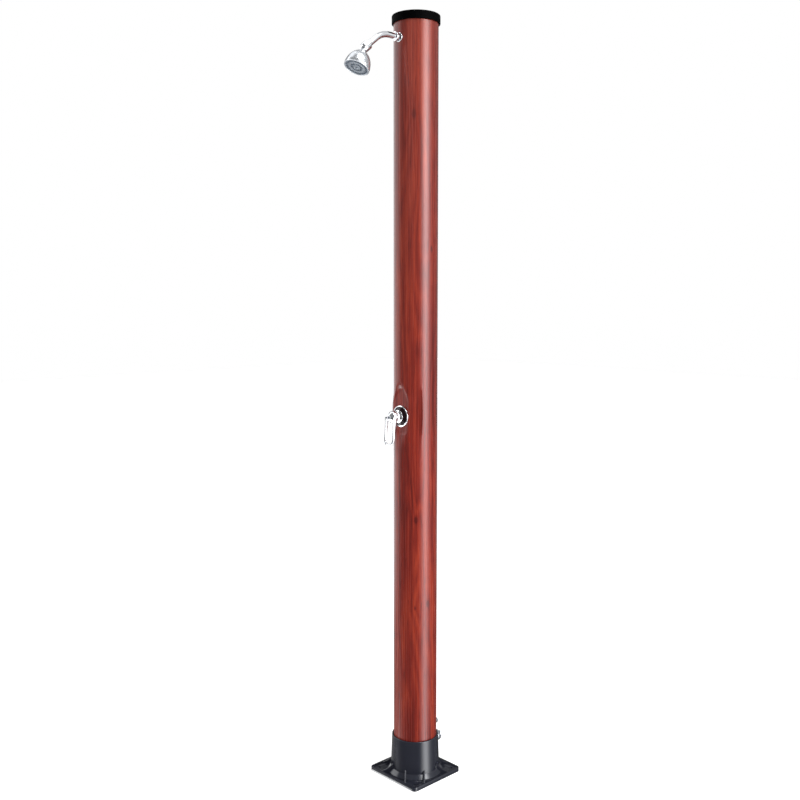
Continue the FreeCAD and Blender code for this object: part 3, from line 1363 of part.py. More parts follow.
def write_pieces():
    """Write each piece to its own file and say what it holds."""
    os.makedirs("parts", exist_ok=True)
    for piece in PIECES:
        piece.Shape.exportStep(f"parts/{piece.Label}.step")
        box = piece.Shape.BoundBox
        print(f"{piece.Label}: {len(piece.Shape.Solids)} solid(s), {piece.Shape.Volume / 1000:.1f} cm3, "
              f"x {box.XMin:.1f}..{box.XMax:.1f} y {box.YMin:.1f}..{box.YMax:.1f} "
              f"z {box.ZMin:.1f}..{box.ZMax:.1f}")


build_all()
check_document()
write_pieces()
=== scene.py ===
"""Dresses an outdoor shower post: printed tube, foot, cap, chrome arm, spray head and mixer."""

import json
import logging
import math
from dataclasses import dataclass
from enum import Enum

import bmesh
import bpy
from bmesh import ops
from mathutils import Matrix, Vector


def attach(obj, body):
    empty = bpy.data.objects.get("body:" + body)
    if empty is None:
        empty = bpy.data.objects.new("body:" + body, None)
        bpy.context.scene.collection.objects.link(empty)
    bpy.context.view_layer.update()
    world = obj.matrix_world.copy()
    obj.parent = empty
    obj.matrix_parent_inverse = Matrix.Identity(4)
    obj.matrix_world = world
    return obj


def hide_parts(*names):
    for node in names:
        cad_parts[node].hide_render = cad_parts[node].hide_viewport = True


LOG = logging.getLogger("shower_post")
MM = 0.001
SHARP = 32.0  # degrees above which an edge stays sharp
CORNER_STEPS = 4
ARC_STEPS = 10
HOOD_STEPS = 12
Point = tuple[float, float]
Corner = tuple[float, float, float]
Colour = tuple[float, float, float]
Socket = bpy.types.NodeSocket
BMesh = bmesh.types.BMesh

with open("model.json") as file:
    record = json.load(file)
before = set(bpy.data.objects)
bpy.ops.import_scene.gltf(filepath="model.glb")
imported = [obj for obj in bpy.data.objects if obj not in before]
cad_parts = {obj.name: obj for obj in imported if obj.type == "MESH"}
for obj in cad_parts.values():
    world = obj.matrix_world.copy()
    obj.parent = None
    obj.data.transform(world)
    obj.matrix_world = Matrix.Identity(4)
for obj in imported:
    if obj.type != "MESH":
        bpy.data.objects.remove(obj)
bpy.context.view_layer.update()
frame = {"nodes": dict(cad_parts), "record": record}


class Facing(Enum):
    """Where a turned piece's own +Z points."""

    UP = "up"
    FRONT = "front"
    BACK = "back"


# ---------------------------------------------------------------- mesh helpers

def placing(spot: Vector, facing: Facing = Facing.UP, droop: float | None = None) -> Matrix:
    """Matrix that lays a piece's own +Z along a direction and sets it at a spot.

    Args:
        spot: where the piece's own origin goes, in metres.
        facing: up, front (-Y) or back (+Y).
        droop: degrees below level, towards the front, in place of facing.

    Returns:
        The placing matrix.
    """
    angle = {Facing.UP: 0.0, Facing.FRONT: 90.0, Facing.BACK: -90.0}[facing]
    if droop is not None:
        angle = 90.0 + droop
    return Matrix.Translation(spot) @ Matrix.Rotation(math.radians(angle), 4, "X")


def at_height(height: float, facing: Facing) -> Matrix:
    """Placing on the post's axis at a height, in millimetres."""
    return placing(Vector((0, 0, height)) * MM, facing)


def soften(corners: list[Corner], closed: bool) -> list[Point]:
    """Round the corners of a half section.

    Args:
        corners: radius, height and corner radius of each corner, in millimetres.
        closed: whether the last corner joins the first.

    Returns:
        The points of the rounded section, in millimetres.
    """
    points: list[Point] = []
    corners = [corner for number, corner in enumerate(corners)
               if number == 0 or math.dist(corner[:2], corners[number - 1][:2]) > 1e-4]
    count = len(corners)
    for index, (r, z, soft) in enumerate(corners):
        here = Vector((r, z))
        at_end = not closed and index in (0, count - 1)
        if soft <= 0.0 or at_end:
            points.append((r, z))
            continue
        back = Vector(corners[index - 1][:2]) - here
        on = Vector(corners[(index + 1) % count][:2]) - here
        turn = math.pi - back.angle(on)
        reach = min(soft * math.tan(turn / 2), back.length * 0.45, on.length * 0.45)
        first = here + back.normalized() * reach
        last = here + on.normalized() * reach
        guard = min(0.25 * reach, 0.04 * min(back.length, on.length))
        stops = [step / CORNER_STEPS for step in range(CORNER_STEPS + 1)]
        curve = [first.lerp(here, t).lerp(here.lerp(last, t), t) for t in stops]
        spots = [first + back.normalized() * guard, *curve, last + on.normalized() * guard]
        points += [(spot.x, spot.y) for spot in spots]
    return points


def arc(start: Point, end: Point, radius: float, left: bool) -> list[Corner]:
    """Corners on a round stretch of a half section, with both its ends.

    Args:
        start: radius and height where it starts.
        end: radius and height where it ends.
        radius: radius of the stretch.
        left: whether its hub lies to the left of the way from start to end.

    Returns:
        The corners, unrounded.
    """
    (r0, z0), (r1, z1) = start, end
    chord = Vector((r1 - r0, z1 - z0))
    rise = math.sqrt(radius ** 2 - chord.length ** 2 / 4)
    inward = Vector((-chord.y, chord.x) if left else (chord.y, -chord.x)).normalized()
    hub = Vector(((r0 + r1) / 2, (z0 + z1) / 2)) + inward * rise
    first = math.atan2(z0 - hub.y, r0 - hub.x)
    last = math.atan2(z1 - hub.y, r1 - hub.x)
    if last - first > math.pi:
        last -= 2 * math.pi
    if first - last > math.pi:
        last += 2 * math.pi
    angles = [first + (last - first) * step / ARC_STEPS for step in range(ARC_STEPS + 1)]
    return [(hub.x + radius * math.cos(angle), hub.y + radius * math.sin(angle), 0.0)
            for angle in angles]


def lathe(corners: list[Corner], closed: bool = True, steps: int = 72) -> BMesh:
    """Spin a rounded half section about Z.

    Args:
        corners: radius, height and corner radius of each corner, in millimetres.
        closed: whether the section is a closed outline; an open one runs from axis to axis.
        steps: facets round the axis.

    Returns:
        The turned mesh.
    """
    bm = bmesh.new()
    verts = [bm.verts.new((r * MM, 0.0, z * MM)) for r, z in soften(corners, closed)]
    edges = [bm.edges.new(pair) for pair in zip(verts, verts[1:])]
    if closed:
        edges.append(bm.edges.new((verts[-1], verts[0])))
    ops.spin(bm, geom=verts + edges, cent=(0, 0, 0), axis=(0, 0, 1),
                   angle=2 * math.pi, steps=steps, use_merge=True)
    ops.remove_doubles(bm, verts=bm.verts, dist=1e-7)
    ops.recalc_face_normals(bm, faces=bm.faces)
    return bm


def bar(radius: float, start: float, end: float, steps: int = 48) -> BMesh:
    """A solid round bar about Z with plain edges, sizes in millimetres."""
    return lathe([(0.0, start, 0.0), (radius, start, 0.0), (radius, end, 0.0), (0.0, end, 0.0)],
                 closed=False, steps=steps)


def ring(inner: float, outer: float, start: float, end: float, soft: float) -> BMesh:
    """A ring of rectangular section about Z with softened edges, sizes in millimetres."""
    return lathe([(inner, start, soft), (outer, start, soft), (outer, end, soft), (inner, end, soft)])


def verts_in(parts: list) -> list[bmesh.types.BMVert]:
    """The vertices among parts of a mesh."""
    return [part for part in parts if isinstance(part, bmesh.types.BMVert)]


def edges_in(parts: list) -> list[bmesh.types.BMEdge]:
    """The edges among parts of a mesh."""
    return [part for part in parts if isinstance(part, bmesh.types.BMEdge)]


def thicken(bm: BMesh, way: Corner) -> None:
    """Extrude all faces of a flat mesh along a vector, in metres."""
    grown = ops.extrude_face_region(bm, geom=bm.faces[:])["geom"]
    ops.translate(bm, verts=verts_in(grown), vec=way)


def next_ring(bm: BMesh, rim: list[bmesh.types.BMEdge]) -> tuple[list, list]:
    """Extrude a rim of edges in place, and return the new vertices and the new rim."""
    grown = ops.extrude_edge_only(bm, edges=rim)["geom"]
    verts = verts_in(grown)
    fresh = set(verts)
    return verts, [edge for edge in edges_in(grown) if all(vert in fresh for vert in edge.verts)]


def bevel_edges(bm: BMesh, least: float, width: float) -> None:
    """Bevel the edges that turn by more than an angle, in radians, to a width in millimetres."""
    edges = [edge for edge in bm.edges if edge.calc_face_angle(0.0) > least]
    ops.bevel(bm, geom=edges, offset=width * MM, offset_type="OFFSET", segments=2, profile=0.5,
                    affect="EDGES", material=-1)


def hexagon(flats: float, start: float, end: float, bore: float) -> BMesh:
    """A hexagonal nut about Z with chamfered corners.

    Args:
        flats: width across the flats, in millimetres.
        start: lower face, in millimetres.
        end: upper face, in millimetres.
        bore: radius that places an inset ring on its end faces, halfway between it and the flats, in
            millimetres; no hole is cut.

    Returns:
        The nut's mesh.
    """
    bm = bmesh.new()
    ops.create_circle(bm, cap_ends=True, segments=6, radius=flats / math.sqrt(3) * MM)
    ops.inset_region(bm, faces=bm.faces[:], thickness=(flats / 2 - bore) * 0.5 * MM)
    ops.translate(bm, verts=bm.verts, vec=(0, 0, start * MM))
    thicken(bm, (0, 0, (end - start) * MM))
    bevel_edges(bm, 0.5, 0.5)
    ops.recalc_face_normals(bm, faces=bm.faces)
    return bm


class Bend:
    """A round tube grown from its first ring by straight runs and bends; sizes in metres."""

    def __init__(self, centre: Vector, direction: Vector, radius: float, segments: int) -> None:
        """Start the tube with a ring across its first direction."""
        self.bm = bmesh.new()
        self.centre = centre.copy()
        self.direction = direction.normalized()
        ops.create_circle(self.bm, segments=segments, radius=radius)
        turn = Vector((0, 0, 1)).rotation_difference(self.direction).to_matrix().to_4x4()
        ops.transform(self.bm, matrix=Matrix.Translation(centre) @ turn, verts=self.bm.verts)
        self.tip = self.bm.edges[:]

    def straight(self, length: float, steps: int) -> None:
        """Grow straight on by a length, in the given number of steps."""
        for _ in range(steps):
            verts, self.tip = next_ring(self.bm, self.tip)
            ops.translate(self.bm, verts=verts, vec=self.direction * (length / steps))
        self.centre += self.direction * length

    def turn(self, radius: float, axis: Vector, angle: float, steps: int) -> None:
        """Grow round a bend.

        Args:
            radius: radius of the bend's middle line.
            axis: the axis that the direction turns about.
            angle: how far it turns, in radians.
            steps: rings in the bend.
        """
        hub = self.centre + axis.cross(self.direction).normalized() * radius
        grown = ops.spin(self.bm, geom=self.tip, cent=hub, axis=axis, angle=angle, steps=steps)
        self.tip = edges_in(grown["geom_last"])
        spin = Matrix.Rotation(angle, 3, axis)
        self.centre = hub + spin @ (self.centre - hub)
        self.direction = (spin @ self.direction).normalized()

    def finish(self) -> BMesh:
        """Close both ends and return the mesh."""
        ops.remove_doubles(self.bm, verts=self.bm.verts, dist=1e-6)
        ops.holes_fill(self.bm, edges=self.bm.edges, sides=0)
        ops.recalc_face_normals(self.bm, faces=self.bm.faces)
        return self.bm


def settled(name: str, bm: BMesh) -> bpy.types.Mesh:
    """A named mesh from a working mesh, which is freed."""
    mesh = bpy.data.meshes.new(name)
    bm.to_mesh(mesh)
    bm.free()
    return mesh


def put(name: str, data: bpy.types.ID) -> bpy.types.Object:
    """Add an object to the scene."""
    thing = bpy.data.objects.new(name, data)
    bpy.context.scene.collection.objects.link(thing)
    return thing


def smooth(mesh: bpy.types.Mesh, sharp: float) -> None:
    """Shade a mesh smooth, but for edges above an angle in degrees."""
    for polygon in mesh.polygons:
        polygon.use_smooth = True
    mesh.set_sharp_from_angle(angle=math.radians(sharp))


def piece(name: str, bm: BMesh, body: str, slot: str, matrix: Matrix | None = None,
          stands_for: tuple[str, ...] = (), sharp: float = SHARP, finish: str = "") -> bpy.types.Object:
    """Turn a mesh into a finished piece that rides on a body.

    Args:
        name: the piece's name.
        bm: its mesh, which is freed.
        body: the body that it moves with.
        slot: the record's material slot.
        matrix: placing of the mesh; the object itself stays at the origin.
        stands_for: the nodes that it replaces.
        sharp: angle in degrees above which an edge stays sharp.
        finish: its finish, where that isn't the slot's own.

    Returns:
        The new object.
    """
    if matrix is not None:
        ops.transform(bm, matrix=matrix, verts=bm.verts)
    mesh = settled(name, bm)
    smooth(mesh, sharp)
    mesh.materials.append(FINISHES[finish or slot])
    thing = put(name, mesh)
    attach(thing, body)
    if stands_for:
        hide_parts(*stands_for)
    LOG.info("%s: %d faces, on %s", name, len(mesh.polygons), body)
    return thing


def carve(thing: bpy.types.Object, cutters: list[BMesh], bevel: float = 0.0) -> None:
    """Cut shapes out of a piece and soften the edges that are left.

    Args:
        thing: the piece.
        cutters: meshes to take away, which are freed.
        bevel: width of the softened edges, in metres, or 0 for none.
    """
    tools = []
    for number, bm in enumerate(cutters):
        name = f"cutter_{number}"
        tools.append(put(name, settled(name, bm)))
        modifier = thing.modifiers.new(f"Cut{number}", "BOOLEAN")
        modifier.operation = "DIFFERENCE"
        modifier.solver = "EXACT"
        modifier.object = tools[-1]
    if bevel:
        modifier = thing.modifiers.new("Edges", "BEVEL")
        modifier.width = bevel
        modifier.segments = 2
        modifier.limit_method = "ANGLE"
        modifier.angle_limit = math.radians(35)
    bpy.context.view_layer.update()
    graph = bpy.context.evaluated_depsgraph_get()
    carved = bpy.data.meshes.new_from_object(thing.evaluated_get(graph))
    thing.modifiers.clear()
    old = thing.data
    thing.data = carved
    carved.name = old.name
    bpy.data.meshes.remove(old)
    for tool in tools:
        mesh = tool.data
        bpy.data.objects.remove(tool)
        bpy.data.meshes.remove(mesh)
    smooth(carved, SHARP)


# ---------------------------------------------------------------- finishes

class Nodes:
    """A node tree of a material or a world, with short calls to add and join nodes."""

    def __init__(self, owner: bpy.types.Material | bpy.types.World) -> None:
        """Empty the owner's tree."""
        owner.use_nodes = True
        self.owner = owner
        self.tree = owner.node_tree
        self.tree.nodes.clear()

    @classmethod
    def of_material(cls, name: str) -> "Nodes":
        """The tree of a new material, with its shader and its output."""
        nodes = cls(bpy.data.materials.new(name))
        nodes.shader = nodes.add("ShaderNodeBsdfPrincipled")
        nodes.output = nodes.add("ShaderNodeOutputMaterial", {"Surface": nodes.shader.outputs["BSDF"]})
        return nodes

    def add(self, kind: str, inputs: dict | None = None, **settings: object) -> bpy.types.Node:
        """Add a node, set its properties and fill its sockets."""
        node = self.tree.nodes.new(kind)
        for name, value in settings.items():
            setattr(node, name, value)
        for key, value in (inputs or {}).items():
            self.fill(node.inputs[key], value)
        return node

    def fill(self, socket: Socket, value: object) -> None:
        """Join a socket to another, or give it a number, a vector or a colour."""
        if isinstance(value, Socket):
            self.tree.links.new(value, socket)
        else:
            socket.default_value = (*value, 1.0) if socket.type == "RGBA" else value

    def set(self, **values: object) -> None:
        """Fill the shader's own sockets, named with underscores for spaces."""
        for name, value in values.items():
            self.fill(self.shader.inputs[name.replace("_", " ")], value)

    def background(self, colour: Colour, strength: object) -> Socket:
        """A Background node of a colour and a strength, a number or a socket."""
        return self.add("ShaderNodeBackground", {"Color": colour, "Strength": strength}).outputs[0]

    def mix_shaders(self, factor: Socket, first: Socket, second: Socket) -> Socket:
        """A Mix Shader node of two shaders."""
        return self.add("ShaderNodeMixShader", {0: factor, 1: first, 2: second}).outputs[0]

    def between(self, source: Socket, low: float, high: float, at_low: float, at_high: float,
                kind: str = "SMOOTHSTEP") -> Socket:
        """A value that runs from one number to another as its source rises."""
        ends = {"From Min": low, "From Max": high, "To Min": at_low, "To Max": at_high}
        node = self.add("ShaderNodeMapRange", {"Value": source, **ends}, interpolation_type=kind)
        return node.outputs["Result"]

    def maths(self, operation: str, first: object, second: object = None) -> Socket:
        """A Math node of numbers or sockets, and its output."""
        values = {0: first} if second is None else {0: first, 1: second}
        return self.add("ShaderNodeMath", values, operation=operation).outputs[0]

    def total(self, *values: object) -> Socket:
        """Numbers and sockets added up from the left."""
        result = values[0]
        for value in values[1:]:
            result = self.maths("ADD", result, value)
        return result

    def times(self, first: object, second: object) -> Socket:
        """The product of two numbers or sockets."""
        return self.maths("MULTIPLY", first, second)

    def minus(self, first: object, second: object) -> Socket:
        """The difference of two numbers or sockets."""
        return self.maths("SUBTRACT", first, second)

    def split(self, vector: Socket) -> list[Socket]:
        """The X, Y and Z of a vector."""
        return list(self.add("ShaderNodeSeparateXYZ", {0: vector}).outputs)

    def noise(self, vector: Socket, scale: float, detail: float = 3.0, roughness: float = 0.5,
              distortion: float = 0.0) -> Socket:
        """A noise texture over a vector, and its factor."""
        values = {"Scale": scale, "Detail": detail, "Roughness": roughness, "Distortion": distortion}
        return self.add("ShaderNodeTexNoise", {"Vector": vector, **values}).outputs["Fac"]

    def stretch(self, vector: Socket, scale: Corner, offset: Corner = (0.0, 0.0, 0.0)) -> Socket:
        """A vector scaled and moved by a Mapping node."""
        values = {"Vector": vector, "Scale": scale, "Location": offset}
        return self.add("ShaderNodeMapping", values).outputs["Vector"]

    def ramp(self, source: Socket, stops: list[tuple[float, Colour]], kind: str = "LINEAR") -> Socket:
        """A colour ramp through the given stops, and its colour."""
        node = self.add("ShaderNodeValToRGB", {"Fac": source})
        node.color_ramp.interpolation = kind
        elements = node.color_ramp.elements
        while len(elements) < len(stops):
            elements.new(0.5)
        for element, (place, colour) in zip(elements, stops):
            element.position = place
            element.color = (*colour, 1.0)
        return node.outputs["Color"]

    def blend(self, factor: object, first: object, second: object) -> Socket:
        """Mix two colours, each a socket or a colour, by a number or a socket."""
        values = {0: factor, 6: first, 7: second}
        return self.add("ShaderNodeMix", values, data_type="RGBA").outputs[2]

    def bump(self, height: Socket, strength: float, distance: float = 0.0002) -> None:
        """Drive the shader's normal with a height."""
        values = {"Strength": strength, "Distance": distance, "Height": height}
        self.set(Normal=self.add("ShaderNodeBump", values).outputs["Normal"])

    def object_space(self) -> Socket:
        """The object coordinates."""
        return self.add("ShaderNodeTexCoord").outputs["Object"]


@dataclass(frozen=True)
class WoodPrint:
    """Red mahogany grain printed on the smooth plastic tube, under a clear gloss.

    A knot is its distance round the tube from the front and its height, in metres, then its width
    and its darkness. Each part says how much a layer changes the tone. The colour turns browner and
    darker above the height brown_from, in metres.
    """

    dark: Colour = (0.098, 0.0080, 0.0065)
    middle: Colour = (0.225, 0.0190, 0.0110)
    light: Colour = (0.400, 0.046, 0.0190)
    brown: Colour = (0.110, 0.024, 0.018)
    fibre_scale: float = 230.0
    figure_scale: float = 4.2
    drift: float = 0.030
    band_count: float = 22.0
    band_part: float = 0.13
    fibre_part: float = 0.34
    thread_part: float = 0.42
    patch_part: float = 0.55
    pit_part: float = 0.16
    brown_from: float = 0.95
    brown_rate: float = 0.62
    brown_part: float = 0.72
    knot_across: float = 190.0
    knot_along: float = 95.0
    knots: tuple[tuple[float, float, float, float], ...] = (
        (0.044, 1.895, 0.9, 0.5), (0.098, 1.530, 0.7, 0.35), (0.051, 0.768, 0.7, 0.55),
        (0.088, 0.522, 0.7, 0.5), (0.049, 0.512, 0.5, 0.3), (-0.09, 1.25, 0.9, 0.5),
        (-0.03, 0.42, 0.8, 0.4), (0.15, 1.10, 0.8, 0.4), (-0.15, 1.75, 0.9, 0.5),
        (-0.13, 0.62, 0.8, 0.4))

    def build(self) -> bpy.types.Material:
        """Make the material from the tube's unrolled UV map, in metres."""
        n = Nodes.of_material("wood_print")
        uv = n.add("ShaderNodeUVMap", uv_map="Unrolled").outputs["UV"]
        drift = n.noise(n.stretch(uv, (2.2, 0.55, 1.0)), 2.6, 2.0)
        lean = n.times(n.minus(drift, 0.5), self.drift)
        around, along, _ = n.split(uv)
        swirl, shade = self._knots(n, around, along)
        grain = n.add("ShaderNodeCombineXYZ", {"X": n.total(around, lean), "Y": along}).outputs[0]
        figure = n.noise(n.stretch(grain, (4.2, 0.34, 1.0)), self.figure_scale, 1.5, 0.4, 0.15)
        rings = n.times(n.total(figure, n.times(swirl, 0.05)), self.band_count)
        bands = n.maths("PINGPONG", rings, 1.0)
        fibre = n.noise(n.stretch(grain, (1.0, 0.016, 1.0)), self.fibre_scale, 4.0, 0.6)
        threads = n.noise(n.stretch(grain, (1.0, 0.010, 1.0), (5.0, 3.0, 0.0)),
                          self.fibre_scale * 0.35, 2.0)
        pores = n.noise(n.stretch(grain, (1.0, 0.03, 1.0), (3.0, 1.0, 0.0)),
                        self.fibre_scale * 2.6, 2.0)
        pits = n.times(n.maths("LESS_THAN", pores, 0.36), self.pit_part)
        patches = n.noise(n.stretch(uv, (2.6, 0.30, 1.0), (7.0, 2.0, 0.0)), 3.6, 2.0)
        tone = n.total(n.times(bands, self.band_part), n.times(fibre, self.fibre_part),
                       n.times(threads, self.thread_part),
                       n.times(n.minus(patches, 0.5), self.patch_part))
        tone = n.minus(n.minus(tone, shade), pits)
        colour = n.ramp(tone, [(0.24, self.dark), (0.42, self.middle), (0.62, self.light)])
        height = n.times(n.minus(along, self.brown_from), self.brown_rate)
        browned = n.add("ShaderNodeClamp", {0: height}).outputs[0]
        colour = n.blend(browned, colour, n.blend(self.brown_part, colour, self.brown))
        rough = n.total(n.times(fibre, 0.08), 0.23)
        n.set(Base_Color=colour, Roughness=rough, IOR=1.5, Specular_IOR_Level=0.42)
        n.bump(fibre, 0.03)
        return n.owner

    def _knots(self, n: Nodes, around: Socket, along: Socket) -> tuple[Socket, Socket]:
        """Small dark knots and the swirl of the grain round them.

        Args:
            n: the material's nodes.
            around: distance round the tube.
            along: height on the tube.

        Returns:
            The swirl and the darkness.
        """
        swirls, shades = [], []
        for u, v, width, depth in self.knots:
            du = n.times(n.minus(around, u), self.knot_across / width)
            dv = n.times(n.minus(along, v), self.knot_along / width)
            far = n.total(*(n.maths("POWER", n.maths("ABSOLUTE", part), 2.0) for part in (du, dv)))
            shades.append(n.times(n.maths("EXPONENT", n.times(far, -1.0)), depth))
            swirls.append(n.maths("EXPONENT", n.times(far, -0.03)))
        return n.total(*swirls), n.total(*shades)


@dataclass(frozen=True)
class BrightMetal:
    """Polished and plated metal with faint wipe marks."""

    name: str
    colour: Colour
    roughness: float
    metal: float = 1.0

    def build(self) -> bpy.types.Material:
        """Make the material with roughness that varies a little over the surface."""
        n = Nodes.of_material(self.name)
        marks = n.noise(n.stretch(n.object_space(), (1.0, 1.0, 2.5)), 60.0)
        tint = n.blend(marks, tuple(part * 0.94 for part in self.colour), self.colour)
        rough = n.total(n.times(marks, 0.06), self.roughness)
        n.set(Base_Color=tint, Roughness=rough, Metallic=self.metal)
        return n.owner


@dataclass(frozen=True)
class Moulded:
    """Moulded plastic or rubber: a soft sheen over a very fine grain."""

    name: str
    colour: Colour
    roughness: float
    grain: float = 900.0
    depth: float = 0.06
    gloss: float = 0.5

    def build(self) -> bpy.types.Material:
        """Make the material with a faint cloud of tone and a fine grain."""
        n = Nodes.of_material(self.name)
        space = n.object_space()
        cloud = n.noise(space, 9.0)
        speck = n.noise(space, self.grain, 2.0)
        tint = n.blend(cloud, tuple(part * 0.88 for part in self.colour), self.colour)
        rough = n.total(n.times(speck, 0.12), self.roughness - 0.06)
        n.set(Base_Color=tint, Roughness=rough, IOR=1.48, Specular_IOR_Level=self.gloss)
        n.bump(speck, self.depth)
        return n.owner


@dataclass(frozen=True)
class RingedFace:
    """Grey-blue plastic of the spray face, in rings; the period is in millimetres."""

    name: str
    ring: Colour = (0.050, 0.075, 0.110)
    land: Colour = (0.44, 0.49, 0.55)
    period: float = 13.4

    def build(self) -> bpy.types.Material:
        """Make the material from a map of the distance from the face's middle, in metres."""
        n = Nodes.of_material(self.name)
        reach = n.split(n.add("ShaderNodeUVMap", uv_map="Rings").outputs["UV"])[0]
        far = n.maths("PINGPONG", n.maths("DIVIDE", reach, self.period * MM), 0.5)
        speck = n.noise(n.object_space(), 700.0, 2.0)
        tone = n.total(far, n.times(n.minus(speck, 0.5), 0.12))
        n.set(Base_Color=n.ramp(tone, [(0.18, self.ring), (0.32, self.land)]), IOR=1.48, Roughness=0.3)
        return n.owner


FINISHES: dict[str, bpy.types.Material] = {
    "wood_print": WoodPrint().build(),
    "black_plastic": Moulded("black_plastic", (0.0006, 0.0006, 0.0007), 0.6, gloss=0.02).build(),
    # Near-black with a maroon tint: painted dark reflection for the rosette's ring, with the red post's
    # reflection painted in.
    "gloss_black": Moulded("gloss_black", (0.010, 0.004, 0.005), 0.14, depth=0.0, gloss=0.16).build(),
    "anthracite_plastic": Moulded("anthracite_plastic", (0.023, 0.025, 0.037), 0.17, depth=0.02).build(),
    "screw_steel": BrightMetal("screw_steel", (0.55, 0.55, 0.56), 0.3).build(),
    "white_plastic": Moulded("white_plastic", (0.72, 0.72, 0.69), 0.4).build(),
    "seal_rubber": Moulded("seal_rubber", (0.014, 0.014, 0.015), 0.6, 500.0, 0.2).build(),
    "brass": BrightMetal("brass", (0.72, 0.5, 0.22), 0.22).build(),
    # Set darker than the chrome: painted dark reflection on the fittings behind the post.
    "chrome_fitting": BrightMetal("chrome_fitting", (0.42, 0.44, 0.47), 0.12).build(),
    "chrome": BrightMetal("chrome", (0.83, 0.84, 0.86), 0.03).build(),
    "plated_bell": BrightMetal("plated_bell", (0.64, 0.66, 0.69), 0.22, 0.8).build(),
    "grey_plastic": RingedFace("grey_plastic").build(),
    "nozzle_rubber": Moulded("nozzle_rubber", (0.30, 0.34, 0.40), 0.5).build(),
}


# ---------------------------------------------------------------- post and foot

@dataclass
class PostTube:
    """The wood-printed tube with the mixer's pressed seat; sizes in millimetres.

    The wall is plain where the cosine of the angle from the front is below seat_side. The three
    softs are the widths over which the seat's surfaces run into each other.
    """

    radius: float = 62.5
    wall: float = 4.0
    foot: float = 8.0
    top: float = 2166.0
    seat_height: float = 1076.0
    seat_face: float = 56.0
    seat_half_height: float = 62.0
    seat_half_width: float = 35.0
    flank_slope: float = 14.0 / 16.0
    ramp: float = 2.6
    arch_above: float = 30.0
    arch_below: float = 10.0
    crest_soft: float = 5.0
    foot_soft: float = 2.0
    edge_soft: float = 3.5
    seat_side: float = 0.45
    seat_reach: float = 96.0
    segments: int = 300

    def reach(self, angle: float, height: float, inset: float) -> float:
        """Distance of the wall from the axis.

        Args:
            angle: angle from the front, in radians.
            height: height, in millimetres.
            inset: how far inside the outer face the surface lies.

        Returns:
            The distance in millimetres.
        """
        facing = math.cos(angle)
        if facing < self.seat_side:
            return self.radius - inset
        drop = abs(height - self.seat_height)
        low, high = self.radius * 0.8, self.radius + 8.0
        for _ in range(18):
            middle = (low + high) / 2
            side = abs(middle * math.sin(angle)) / self.seat_half_width
            rise = drop / self.seat_half_height
            spread = (math.hypot(side, rise) - 1.0) * self.seat_half_width
            inside = middle * facing < self.seat_face - spread * self.flank_slope
            low, high = (middle, high) if inside else (low, middle)
        proud = self._soft_max(self.radius, low, self.crest_soft)
        arch = self.arch_above if height > self.seat_height else self.arch_below
        flat_half = math.sqrt(self.radius ** 2 - self.seat_face ** 2)
        across = min(self.seat_face * abs(math.tan(angle)) / flat_half, 1.2)
        climb = (drop - self.seat_half_height + arch * across ** 2) / self.ramp
        floor = self.seat_face + self._soft_max(0.0, climb, self.foot_soft)
        nearer = -self._soft_max(-proud, -floor / facing, self.edge_soft)
        return nearer - inset

    @staticmethod
    def _soft_max(first: float, second: float, width: float) -> float:
        """The larger of two lengths, rounded where they cross."""
        over = max(width - abs(first - second), 0.0) / width
        return max(first, second) + over * over * width / 4

    def heights(self, fine: float) -> list[float]:
        """Ring heights from foot to top, close together at the seat."""
        rows = [self.foot]
        while rows[-1] < self.top - 1.0:
            near = abs(rows[-1] - self.seat_height) < self.seat_reach
            rows.append(min(rows[-1] + (fine if near else 40.0), self.top))
        return rows

    def build(self) -> bpy.types.Object:
        """Grow the wall ring by ring, up outside and down inside, and unroll its UV map."""
        bm = bmesh.new()
        ops.create_circle(bm, segments=self.segments, radius=self.radius * MM)
        ops.translate(bm, verts=bm.verts, vec=(0, 0, self.foot * MM))
        rim = bm.edges[:]
        rows = [(height, 0.0) for height in self.heights(2.5)[1:]]
        rows += [(height, self.wall) for height in reversed(self.heights(10.0))]
        for height, inset in rows:
            verts, rim = next_ring(bm, rim)
            for vert in verts:
                angle = math.atan2(vert.co.x, -vert.co.y)
                reach = self.reach(angle, height, inset) * MM
                vert.co = Vector((math.sin(angle) * reach, -math.cos(angle) * reach, height * MM))
        ops.bridge_loops(bm, edges=[edge for edge in bm.edges if edge.is_boundary])
        ops.recalc_face_normals(bm, faces=bm.faces)
        unrolled = bm.loops.layers.uv.new("Unrolled")
        for face in bm.faces:
            middle = face.calc_center_median()
            home = math.atan2(middle.x, -middle.y)
            for loop in face.loops:
                angle = math.atan2(loop.vert.co.x, -loop.vert.co.y)
                if angle - home > math.pi:
                    angle -= 2 * math.pi
                elif home - angle > math.pi:
                    angle += 2 * math.pi
                loop[unrolled].uv = (angle * self.radius * MM, loop.vert.co.z)
        return piece("post_shell", bm, "post", "wood_print", stands_for=("post_tube",), sharp=50.0)


@dataclass
class TopCap:
    """The black cap that closes the tube; sizes in millimetres."""

    radius: float = 67.5
    bore: float = 62.8
    foot: float = 2147.0
    top: float = 2170.0
    roof: float = 4.0

    def build(self) -> bpy.types.Object:
        """Turn the cap with its rounded upper edge."""
        roof = self.top - self.roof
        section = [(0.0, roof, 0.0), (self.bore, roof, 0.5), (self.bore, self.foot, 0.5),
                   (self.radius, self.foot, 0.9), (self.radius, self.top, 3.5), (0.0, self.top, 0.0)]
        return piece("cap_shell", lathe(section, closed=False, steps=128), "post", "black_plastic",
                     stands_for=("top_cap",))


